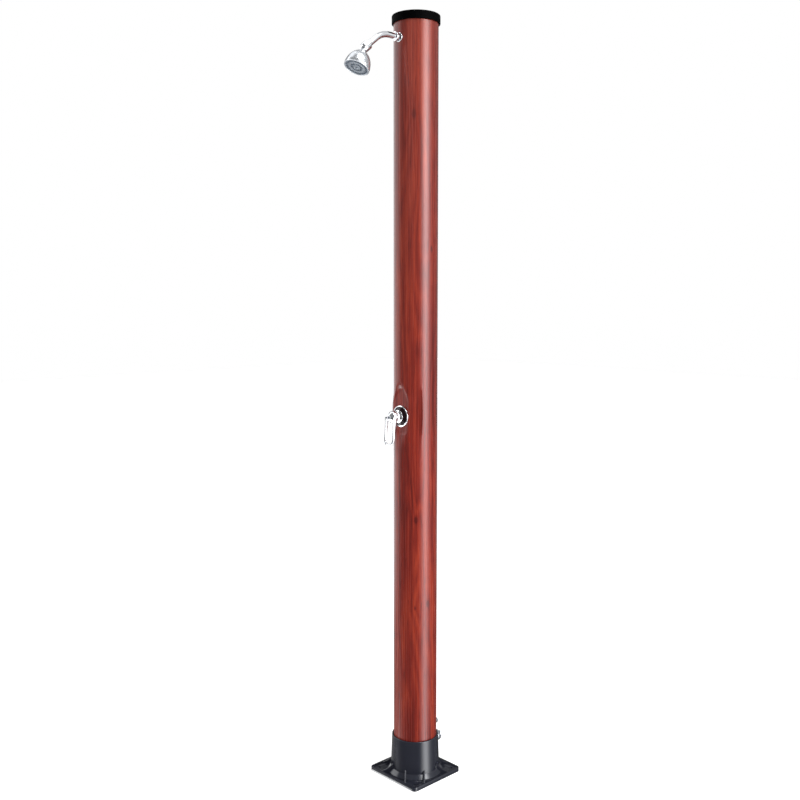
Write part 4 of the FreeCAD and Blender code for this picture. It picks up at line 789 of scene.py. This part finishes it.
@dataclass
class Foot:
    """The square plate, its lip, the tapered collar, ribs and anchor holes; sizes in millimetres."""

    side: float = 190.0
    corner: float = 12.0
    thickness: float = 8.0
    lip_height: float = 3.0
    lip_width: float = 5.0
    anchor_pitch: float = 150.0
    anchor_bore: float = 5.0
    bore: float = 62.8
    collar_top: float = 67.8
    collar_foot: float = 71.0
    collar_height: float = 116.0
    flare: float = 81.0
    flare_height: float = 13.0
    rib_offset: float = 27.6
    rib_thickness: float = 4.5
    rib_reach: float = 98.0
    rib_height: float = 26.0
    rib_knee: float = 9.0
    rib_knee_reach: float = 82.0
    pad_radius: float = 19.0
    pad_face: float = 74.0
    pad_height: float = 80.0
    pad_bore: float = 10.7
    edge: float = 0.8

    def plate(self) -> BMesh:
        """The plate with its raised lip."""
        bm = bmesh.new()
        ops.create_grid(bm, x_segments=1, y_segments=1, size=self.side / 2 * MM)
        ops.bevel(bm, geom=bm.verts[:], offset=self.corner * MM, offset_type="OFFSET",
                        segments=8, profile=0.5, affect="VERTICES", material=-1)
        thicken(bm, (0, 0, (self.thickness + self.lip_height) * MM))
        roof = [face for face in bm.faces if face.calc_center_median().z > self.thickness * MM]
        ops.inset_region(bm, faces=roof, thickness=self.lip_width * MM)
        ops.inset_region(bm, faces=roof, thickness=0.2 * MM)
        floor = {vert for face in roof for vert in face.verts}
        ops.translate(bm, verts=list(floor), vec=(0, 0, -self.lip_height * MM))
        ops.recalc_face_normals(bm, faces=bm.faces)
        return bm

    def rib(self, quarter: int, side: int) -> BMesh:
        """One rib, from its side outline, turned to its place beside a diagonal."""
        bm = bmesh.new()
        root = math.sqrt((self.collar_foot - 3.0) ** 2 - self.rib_offset ** 2)
        outline = [(root, self.thickness - 1.0), (self.rib_reach, self.thickness - 1.0),
                   (self.rib_reach, self.thickness + 2.0),
                   (self.rib_knee_reach, self.thickness + self.rib_knee),
                   (root, self.thickness + self.rib_height)]
        corners = [bm.verts.new((x * MM, 0.0, z * MM)) for x, z in outline]
        ops.contextual_create(bm, geom=corners)
        thicken(bm, (0, self.rib_thickness * MM, 0))
        ops.translate(bm, verts=bm.verts,
                            vec=(0, (self.rib_offset * side - self.rib_thickness / 2) * MM, 0))
        ops.recalc_face_normals(bm, faces=bm.faces)
        bevel_edges(bm, 0.3, self.edge)
        turn = Matrix.Rotation(math.radians(45 + 90 * quarter), 4, "Z")
        ops.transform(bm, matrix=turn, verts=bm.verts)
        return bm

    def build(self) -> None:
        """Build the plate, the collar, the inlet's pad and the ribs."""
        plastic = "anthracite_plastic"
        plate = piece("foot_plate", self.plate(), "post", plastic, stands_for=("base_flange",))
        holes = []
        for sx in (-1, 1):
            for sy in (-1, 1):
                hole = bar(self.anchor_bore, -5.0, self.thickness + 8.0)
                spot = Vector((sx, sy, 0)) * (self.anchor_pitch / 2 * MM)
                ops.translate(hole, verts=hole.verts, vec=spot)
                holes.append(hole)
        carve(plate, holes, bevel=self.edge * MM)
        ground = self.thickness - 1.0
        collar = [(self.bore, ground, 0.3), (self.flare, ground, 0.3),
                  (self.flare, self.thickness + 1.2, 0.8),
                  (self.collar_foot, self.thickness + self.flare_height, 3.0),
                  (self.collar_top, self.collar_height, 1.6), (self.bore, self.collar_height, 0.8)]
        piece("foot_collar", lathe(collar, steps=128), "post", plastic)
        pad = ring(self.pad_bore, self.pad_radius, self.bore + 1.0, self.pad_face, self.edge)
        piece("inlet_pad", pad, "post", plastic, at_height(self.pad_height, Facing.BACK))
        for quarter in range(4):
            for side in (-1, 1):
                name = f"foot_rib_{quarter * 2 + (side + 1) // 2}"
                piece(name, self.rib(quarter, side), "post", plastic)


# ---------------------------------------------------------------- mixer

@dataclass
class MixerTrim:
    """The rosette, the hub with its ball, and between them a near-black ring, a painted dark reflection;
    sizes in millimetres.
    """

    height: float = 1062.0
    back: float = 56.3
    radius: float = 30.0
    rim: float = 4.0
    crown: float = 68.0
    wall: float = 1.4
    hub: float = 11.5
    hub_start: float = 60.5
    pivot: float = 88.0
    ball: float = 15.2
    ball_face: float = 4.0
    stem: float = 7.1
    flare: float = 18.0
    flare_length: float = 8.5
    flare_curve: float = 12.0
    # Outer radius and depth of the near-black ring that paints a dark reflection in the rosette.
    painted_reflection_outer: float = 27.4
    painted_reflection_depth: float = 0.5
    dish: float = 0.62
    fall: float = 1.2
    ball_steps: int = 14

    def _slope(self, radius: float) -> float:
        """Height of the rosette's dished front at a radius."""
        shoulder = self.radius * self.dish
        share = (radius - shoulder) / (self.radius - shoulder)
        return self.crown - self.fall + share * (self.back + self.rim + 0.4 - self.crown + self.fall)

    def build(self) -> None:
        """Turn the rosette and the hub."""
        spot = at_height(self.height, Facing.FRONT)
        rim = self.back + self.rim
        shoulder = self.radius * self.dish
        hole = self.hub + 0.3
        rosette = [
            (self.radius - self.wall, self.back, 0.1), (self.radius, self.back, 0.5),
            (self.radius, rim + 0.4, 1.4), (self.painted_reflection_outer, self._slope(self.painted_reflection_outer), 0.3),
            (self.painted_reflection_outer, self._slope(self.painted_reflection_outer) - self.painted_reflection_depth, 0.2),
            (shoulder, self.crown - self.fall - self.painted_reflection_depth, 2.0),
            (hole, self.crown - self.painted_reflection_depth, 0.3), (hole, self.crown - self.wall, 0.1),
            (shoulder - 0.5, self.crown - self.fall - self.wall, 0.5),
            (self.radius - self.wall, rim - 0.4, 0.4),
        ]
        piece("rosette_shell", lathe(rosette, steps=96), "post", "chrome", spot, ("mixer_rosette",))
        # Painted dark reflection: a near-black ring set in the rosette's recess, where the chrome shows
        # dark.
        outer = self.painted_reflection_outer - 0.15
        painted_reflection = [(hole, self.crown - self.wall, 0.1), (hole, self.crown, 0.4),
                 (shoulder, self.crown - self.fall, 2.5), (outer, self._slope(outer) + 0.15, 0.4),
                 (outer, self._slope(outer) - self.painted_reflection_depth, 0.1)]
        piece("rosette_painted_reflection", lathe(painted_reflection, steps=96), "post", "black_plastic", spot,
              finish="gloss_black")
        neck = math.sqrt(self.ball ** 2 - self.hub ** 2)
        flare = self.crown + 0.3
        section = [(self.stem, self.hub_start, 0.2), (self.hub, self.hub_start, 0.3),
                   (self.hub, flare, 0.2), (self.flare, flare, 0.3), (self.flare, flare + 1.3, 0.4)]
        section += arc((self.flare, flare + 1.3), (self.hub, flare + self.flare_length),
                       self.flare_curve, left=False)[1:]
        section.append((self.hub, self.pivot - neck, 0.6))
        first = math.acos(-neck / self.ball)
        last = math.acos(self.ball_face / self.ball)
        for step in range(1, self.ball_steps + 1):
            angle = first + (last - first) * step / self.ball_steps
            section.append((self.ball * math.sin(angle), self.pivot + self.ball * math.cos(angle), 0.0))
        section.append((self.stem, self.pivot + self.ball_face, 0.2))
        piece("hub_shell", lathe(section), "post", "chrome", spot, ("lever_hub",))


@dataclass
class LoopLever:
    """The lever's hood, its loop and the button in its face; sizes in millimetres."""

    height: float = 1062.0
    pivot: float = 88.0
    inner: float = 15.5
    outer: float = 17.3
    skirt: float = 4.0
    roof: float = 13.0
    face: float = 16.5
    button: float = 3.8
    pitch: float = 33.0
    strand: float = 3.5
    drop: float = 79.0
    lean: float = 7.0
    root: float = 8.0
    cheek: float = 1.35
    narrowing: float = 0.22

    def hood(self) -> BMesh:
        """The round hood that covers the hub's ball."""
        section: list[Corner] = [(0.0, self.roof, 0.0)]
        self._arc(section, self.inner, self.roof, -self.skirt)
        self._arc(section, self.outer, -self.skirt, self.face - 2.0)
        section.append((math.sqrt(self.outer ** 2 - (self.face - 2.0) ** 2) - 2.6, self.face, 1.5))
        section.append((self.button + 0.2, self.face, 0.3))
        section.append((self.button + 0.2, self.face - 1.6, 0.2))
        section.append((0.0, self.face - 1.6, 0.0))
        return lathe(section, closed=False)

    @staticmethod
    def _arc(section: list[Corner], radius: float, start: float, end: float) -> None:
        """Add a round stretch between two heights to a section."""
        for step in range(HOOD_STEPS + 1):
            height = start + (end - start) * step / HOOD_STEPS
            section.append((math.sqrt(radius ** 2 - height ** 2), height, 0.0))

    def loop(self) -> BMesh:
        """The loop: two strands and the round below, flattened and widened towards the hood."""
        half = self.pitch / 2 * MM
        fall = (self.drop - self.pitch / 2) * MM
        tube = Bend(Vector((-half, 0, 0)), Vector((0, 0, -1)), self.strand * MM, 24)
        tube.straight(fall, 12)
        tube.turn(half, Vector((0, -1, 0)), math.pi, 28)
        tube.straight(fall, 12)
        bm = tube.finish()
        for vert in bm.verts:
            share = max(0.0, min(1.0, 1.0 + vert.co.z / fall))
            vert.co.y *= 1.0 + self.cheek * share ** 1.6
            narrow = 1.0 - self.narrowing * share
            vert.co.x = math.copysign(half + (abs(vert.co.x) - half) * narrow, vert.co.x)
        lean = Matrix.Rotation(math.radians(-self.lean), 4, "X")
        spot = Matrix.Translation(Vector((0, -self.pivot - self.root, self.height)) * MM)
        ops.transform(bm, matrix=spot @ lean, verts=bm.verts)
        return bm

    def build(self) -> None:
        """Build the hood, the loop and the button."""
        spot = placing(Vector((0, -self.pivot, self.height)) * MM, Facing.FRONT)
        piece("lever_hood", self.hood(), "lever", "chrome", spot, ("mixer_lever",))
        piece("lever_loop", self.loop(), "lever", "chrome")
        button = lathe([(0.0, self.face - 1.5, 0.0), (self.button, self.face - 1.5, 0.2),
                        (self.button, self.face + 0.1, 0.5), (0.0, self.face + 0.4, 0.0)],
                       closed=False, steps=48)
        piece("lever_cap", button, "lever", "grey_plastic", spot, ("lever_button",))


# ---------------------------------------------------------------- arm and head

@dataclass
class ShowerArm:
    """The flange, the union nut and the bent chrome tube; sizes in millimetres."""

    height: float = 2102.0
    radius: float = 8.0
    start: float = 77.0
    corner: float = 128.0
    bend: float = 76.0
    droop: float = 38.0
    end: float = 61.0

    def build(self) -> None:
        """Build the three pieces."""
        spot = at_height(self.height, Facing.FRONT)
        flange = lathe([(10.5, 58.0, 0.2), (12.5, 58.0, 0.2), (12.5, 67.0, 1.6), (10.5, 67.0, 0.3)])
        piece("flange_shell", flange, "post", "chrome", spot, ("arm_flange",))
        nut = lathe([(8.1, 74.0, 0.2), (12.3, 74.0, 1.2), (12.3, 82.0, 1.6), (8.1, 82.0, 0.3)])
        piece("union_shell", nut, "post", "chrome", spot, ("arm_union_nut",))
        droop = math.radians(self.droop)
        tangent = self.bend * math.tan(droop / 2)
        start = Vector((0, -self.start, self.height)) * MM
        tube = Bend(start, Vector((0, -1, 0)), self.radius * MM, 40)
        tube.straight((self.corner - tangent - self.start) * MM, 4)
        tube.turn(self.bend * MM, Vector((1, 0, 0)), droop, 24)
        tube.straight((self.end - tangent) * MM, 4)
        piece("arm_shell", tube.finish(), "post", "chrome", stands_for=("shower_arm",))


@dataclass
class SprayHead:
    """The swivel nut, the bell and its face with rings of nozzles; sizes in millimetres."""

    arm: ShowerArm
    from_corner: float = 82.0
    droop: float = 64.0
    top: float = 11.5
    height: float = 49.5
    top_radius: float = 11.5
    radius: float = 35.0
    wall: float = 2.2
    band: float = 8.0
    knee_bands: float = 2.4
    tuck: float = 2.3
    neck: float = 4.55
    roof: float = 5.9
    shoulder: float = 50.0
    face_recess: float = 1.0
    face_thickness: float = 3.0
    ring_step: float = 6.7
    rings: int = 4
    first_ring: int = 6
    nozzle: float = 1.3

    def centre(self) -> Vector:
        """Middle of the swivel ball, in metres."""
        droop = math.radians(self.arm.droop)
        return Vector((0, -(self.arm.corner + self.from_corner * math.cos(droop)),
                       self.arm.height - self.from_corner * math.sin(droop))) * MM

    def swivel(self) -> None:
        """The nut that holds the ball on the arm."""
        nut = lathe([(10.1, -19.0, 0.2), (13.0, -19.0, 1.5), (13.0, -1.5, 1.5), (10.6, 4.4, 0.8),
                     (9.4, 4.4, 0.2), (10.95, -0.5, 0.2), (10.1, -4.0, 0.2)])
        piece("swivel_shell", nut, "post", "chrome", placing(self.centre(), droop=self.arm.droop),
              ("swivel_nut",))

    def bell(self) -> BMesh:
        """The bell, with its rounded shoulder and straight band."""
        mouth = self.top + self.height
        band = mouth - self.band
        knee = mouth - self.band * self.knee_bands
        inner = self.top + self.roof
        outside = arc((self.top_radius, self.top + 1.5), (self.radius - self.tuck, knee),
                      self.shoulder, left=True)
        inside = arc((self.radius - self.tuck - self.wall, knee), (self.top_radius + 0.8, inner),
                     self.shoulder, left=False)
        return lathe([(self.neck, self.top, 0.2), (self.top_radius, self.top, 1.6), *outside,
                      (self.radius, band, 2.0), (self.radius, mouth, 1.0),
                      (self.radius - self.wall, mouth, 0.6), (self.radius - self.wall, band, 1.0),
                      *inside, (self.neck, inner, 0.2)], steps=128)

    def build(self) -> None:
        """Build the nut, the bell, the face with its raised rings, and the nozzles."""
        self.swivel()
        spot = placing(self.centre(), droop=self.droop)
        piece("bell_shell", self.bell(), "head", "plated_bell", spot, ("head_bell",))
        end = self.top + self.height - self.face_recess
        start = end - self.face_thickness
        edge = self.radius - self.wall - 0.1
        section: list[Corner] = [(0.0, start, 0.0), (edge, start, 0.2), (edge, end, 0.4)]
        groove = ((2.6, 0.0), (2.2, 0.5), (-2.2, 0.5), (-2.6, 0.0))
        for number in range(self.rings, 0, -1):
            section += [(number * self.ring_step + aside, end - depth, 0.3) for aside, depth in groove]
        section.append((0.0, end, 0.0))
        face = lathe(section, closed=False, steps=128)
        rings = face.loops.layers.uv.new("Rings")
        for part in face.faces:
            for loop in part.loops:
                loop[rings].uv = (math.hypot(loop.vert.co.x, loop.vert.co.y), loop.vert.co.z)
        piece("face_plate", face, "head", "grey_plastic", spot, ("spray_face",))
        bm = bmesh.new()
        for number in range(1, self.rings + 1):
            count = self.first_ring * number
            for index in range(count):
                angle = 2 * math.pi * (index + 0.5 * (number % 2)) / count
                at = Matrix.Translation(Vector((math.cos(angle), math.sin(angle), 0))
                                        * (number * self.ring_step * MM)
                                        + Vector((0, 0, (end - 0.2) * MM)))
                ops.create_cone(bm, cap_ends=True, segments=12, radius1=self.nozzle * MM,
                                      radius2=self.nozzle * 0.8 * MM, depth=2.2 * MM, matrix=at)
        piece("nozzles", bm, "head", "nozzle_rubber", spot, ("nozzle_mat",))


# ---------------------------------------------------------------- fittings behind

@dataclass
class RearFittings:
    """The inlet's hexagon and coupling, and the drain, behind the post; sizes in millimetres."""

    inlet_height: float = 80.0
    drain_height: float = 128.0
    grooves: int = 24
    groove: float = 0.9
    groove_reach: float = 15.8

    def build(self) -> None:
        """Build the pieces that show behind the foot."""
        # Their darker chrome colour is painted dark reflection.
        metal = "chrome_fitting"
        spot = at_height(self.inlet_height, Facing.BACK)
        piece("inlet_hexagon", hexagon(28.0, 76.0, 83.0, 10.0), "post", metal, spot)
        coupling = piece("coupling_shell", lathe([
            (10.6, 83.3, 0.2), (15.5, 83.3, 1.4), (15.5, 95.3, 0.8), (10.0, 95.3, 0.3),
            (8.5, 95.5, 0.3), (8.5, 98.2, 0.3), (7.7, 99.2, 0.2), (8.5, 102.2, 0.3),
            (7.7, 103.2, 0.2), (8.5, 106.0, 0.3), (7.4, 108.0, 0.2), (7.0, 108.0, 0.1),
            (7.0, 91.3, 0.2), (10.6, 91.3, 0.2)]), "post", metal, spot, ("hose_coupling",))
        grooves = []
        for index in range(self.grooves):
            groove = bar(self.groove, 85.5, 93.0, steps=8)
            angle = 2 * math.pi * index / self.grooves
            reach = Vector((math.cos(angle), math.sin(angle), 0)) * (self.groove_reach * MM)
            ops.translate(groove, verts=groove.verts, vec=reach)
            ops.transform(groove, matrix=spot, verts=groove.verts)
            grooves.append(groove)
        carve(coupling, grooves)
        spot = at_height(self.drain_height, Facing.BACK)
        piece("drain_flange", ring(5.0, 9.0, 59.5, 72.0, 0.8), "post", metal, spot)
        plug = lathe([(0.0, 60.0, 0.0), (4.9, 60.0, 0.2), (4.9, 74.0, 0.2), (8.0, 74.0, 0.5),
                      (8.0, 90.0, 2.2), (0.0, 90.0, 0.0)], closed=False)
        piece("drain_knob", plug, "post", metal, spot, ("drain_plug",))


# ---------------------------------------------------------------- studio

@dataclass
class Studio:
    """The floor, the lamps, the white surroundings and the camera; lengths in metres."""

    azimuth: float = 45.5
    distance: float = 2.8
    eye: float = 1.40
    pitch: float = 5.32
    aside: float = 0.91
    lens: float = 44.25
    shift_y: float = -0.0155
    floor_lift: float = 0.64
    even_light: float = 0.44
    low_walls: float = 0.45
    ceiling: float = 0.72
    ground: float = 3.0
    high_patch: float = 3.5
    low_patch: float = 9.0
    high_walls: float = 0.75
    walls: tuple[Point, ...] = (
        (0.1, 0.26), (-40.0, 0.26), (-46.0, 1.2), (-54.0, 1.6), (-114.0, 1.6), (-126.0, 0.2),
        (-155.0, 0.2), (180.0, 0.4), (145.0, 0.45), (134.0, 1.0), (122.0, 3.0), (112.0, 8.0),
        (105.0, 14.0), (94.0, 14.0), (87.0, 10.0), (78.0, 4.0), (68.0, 0.4), (60.0, 0.26))

    def floor(self) -> None:
        """A pale floor that keeps the object's shadow."""
        bm = bmesh.new()
        ops.create_grid(bm, x_segments=1, y_segments=1, size=14.0)
        ops.translate(bm, verts=bm.verts, vec=(0, 0, -0.0005))
        n = Nodes.of_material("floor")
        n.set(Roughness=0.9, Base_Color=(0.86, 0.86, 0.86))
        path = n.add("ShaderNodeLightPath").outputs
        seen = n.maths("MAXIMUM", path["Is Camera Ray"], path["Is Transmission Ray"])
        glow = n.add("ShaderNodeEmission", {"Strength": n.times(seen, self.floor_lift)}).outputs[0]
        both = n.add("ShaderNodeAddShader", {0: n.shader.outputs[0], 1: glow}).outputs[0]
        clear = n.add("ShaderNodeBsdfTransparent").outputs[0]
        n.fill(n.output.inputs["Surface"], n.mix_shaders(path["Is Glossy Ray"], both, clear))
        mesh = settled("floor", bm)
        mesh.materials.append(n.owner)
        put("floor", mesh)

    def world(self) -> None:
        """White surroundings for the camera, a studio room for gloss, an even light for the rest."""
        world = bpy.data.worlds.new("studio")
        bpy.context.scene.world = world
        n = Nodes(world)
        path = n.add("ShaderNodeLightPath").outputs
        even = n.background((1.0, 0.985, 0.965), self.even_light)
        white = n.background((1.0, 1.0, 1.0), 1.0)
        room = n.background((0.975, 0.988, 1.0), self._room(n))
        seen = n.maths("MAXIMUM", path["Is Camera Ray"], path["Is Transmission Ray"])
        lit = n.mix_shaders(path["Is Glossy Ray"], even, room)
        n.add("ShaderNodeOutputWorld", {"Surface": n.mix_shaders(seen, lit, white)})

    def _room(self, n: Nodes) -> Socket:
        """How bright the room is by direction: walls by bearing, ceiling and ground.

        Args:
            n: the world's nodes.

        Returns:
            The strength of the light from a direction.
        """
        x, y, z = n.split(n.add("ShaderNodeTexCoord").outputs["Generated"])
        turn = n.between(n.maths("ARCTAN2", x, y), -math.pi, math.pi, 0.0, 1.0, "LINEAR")
        brightest = max(strength for _, strength in self.walls)
        stops = sorted(((-bearing / 360.0) % 1.0, (math.sqrt(strength / brightest),) * 3)
                       for bearing, strength in self.walls)
        walls = n.times(n.maths("POWER", n.ramp(turn, stops, "EASE"), 2.0), brightest)
        left = n.between(z, -0.34, -0.25, 0.78, 0.0)
        right = n.between(z, -0.45, 0.25, 1.0 - self.low_walls, 0.0)
        loss = n.total(left, n.times(n.between(x, -0.2, 0.2, 0.0, 1.0), n.minus(right, left)))
        walls = n.times(walls, n.minus(1.0, loss))
        shelf = n.times(n.between(z, 0.28, 0.34, 0.0, 1.0), n.between(z, 0.62, 0.70, 1.0, 0.0))
        capped = n.maths("MINIMUM", walls, n.between(x, -0.35, -0.1, 0.2, self.high_walls))
        walls = n.total(walls, n.times(shelf, n.minus(capped, walls)))
        ceiling = n.between(n.total(z, n.times(y, 0.5)), 0.88, 0.98, 0.0, self.ceiling)
        patch = n.total(n.between(z, 0.27, 0.36, 0.0, self.high_patch),
                        n.between(z, -0.52, -0.46, self.low_patch, 0.0))
        patch = n.times(patch, n.between(x, -0.62, -0.5, 1.0, 0.0))
        patch = n.times(patch, n.between(y, -0.35, -0.15, 1.0, 0.0))
        slant = n.total(z, n.times(n.total(x, y), 0.3))
        bright = n.between(slant, -0.95, -0.75, self.ground, 0.0)
        for light in (patch, ceiling, bright):
            walls = n.maths("MAXIMUM", walls, light)
        return walls

    def lamp(self, name: str, azimuth: float, height: float, reach: float, size: Point,
             power: float) -> None:
        """Add a soft rectangular lamp that faces the post.

        Args:
            name: the lamp's name.
            azimuth: its bearing from the front, in degrees, towards +X.
            height: height of its middle.
            reach: distance from the post's axis.
            size: width and height.
            power: in watts.
        """
        data = bpy.data.lights.new(name, "AREA")
        data.shape = "RECTANGLE"
        data.size, data.size_y = size
        data.energy = power
        lamp = put(name, data)
        lamp.visible_glossy = False
        angle = math.radians(azimuth)
        lamp.location = (math.sin(angle) * reach, -math.cos(angle) * reach, height)
        aim = Vector((0, 0, 1.1)) - lamp.location
        lamp.rotation_euler = aim.to_track_quat("-Z", "Y").to_euler()

    def camera(self) -> None:
        """Set the camera at the photograph's viewing angle."""
        data = bpy.data.cameras.new("camera")
        data.lens = self.lens
        data.shift_y = self.shift_y
        camera = put("camera", data)
        angle = math.radians(self.azimuth)
        across, forward = math.sin(angle), -math.cos(angle)
        camera.location = (across * self.distance, forward * self.distance, self.eye)
        camera.rotation_euler = (math.radians(90.0 - self.pitch), 0.0, angle + math.radians(self.aside))
        bpy.context.scene.camera = camera

    def build(self) -> None:
        """Build the whole studio."""
        self.floor()
        self.world()
        self.lamp("key", 100.0, 2.0, 2.6, (1.2, 2.6), 58.0)
        self.lamp("fill", 20.0, 2.6, 3.4, (2.2, 1.2), 27.0)
        self.lamp("top", 47.0, 3.6, 1.6, (1.6, 1.6), 18.0)
        self.camera()
        bpy.context.scene.view_settings.view_transform = "Standard"


# ---------------------------------------------------------------- assembly

def dress_nodes() -> None:
    """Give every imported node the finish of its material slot."""
    slots = {entry["node"]: entry["material_slot"] for entry in frame["record"]["subparts"]}
    for name, node in frame["nodes"].items():
        node.data.materials.clear()
        node.data.materials.append(FINISHES[slots[name]])
        for polygon in node.data.polygons:
            polygon.material_index = 0


def main() -> None:
    """Dress the frame and set the studio."""
    logging.basicConfig(level=logging.INFO, format="%(message)s")
    dress_nodes()
    PostTube().build()
    TopCap().build()
    Foot().build()
    MixerTrim().build()
    LoopLever().build()
    arm = ShowerArm()
    arm.build()
    SprayHead(arm).build()
    RearFittings().build()
    Studio().build()


if __name__ == "__main__":
    main()
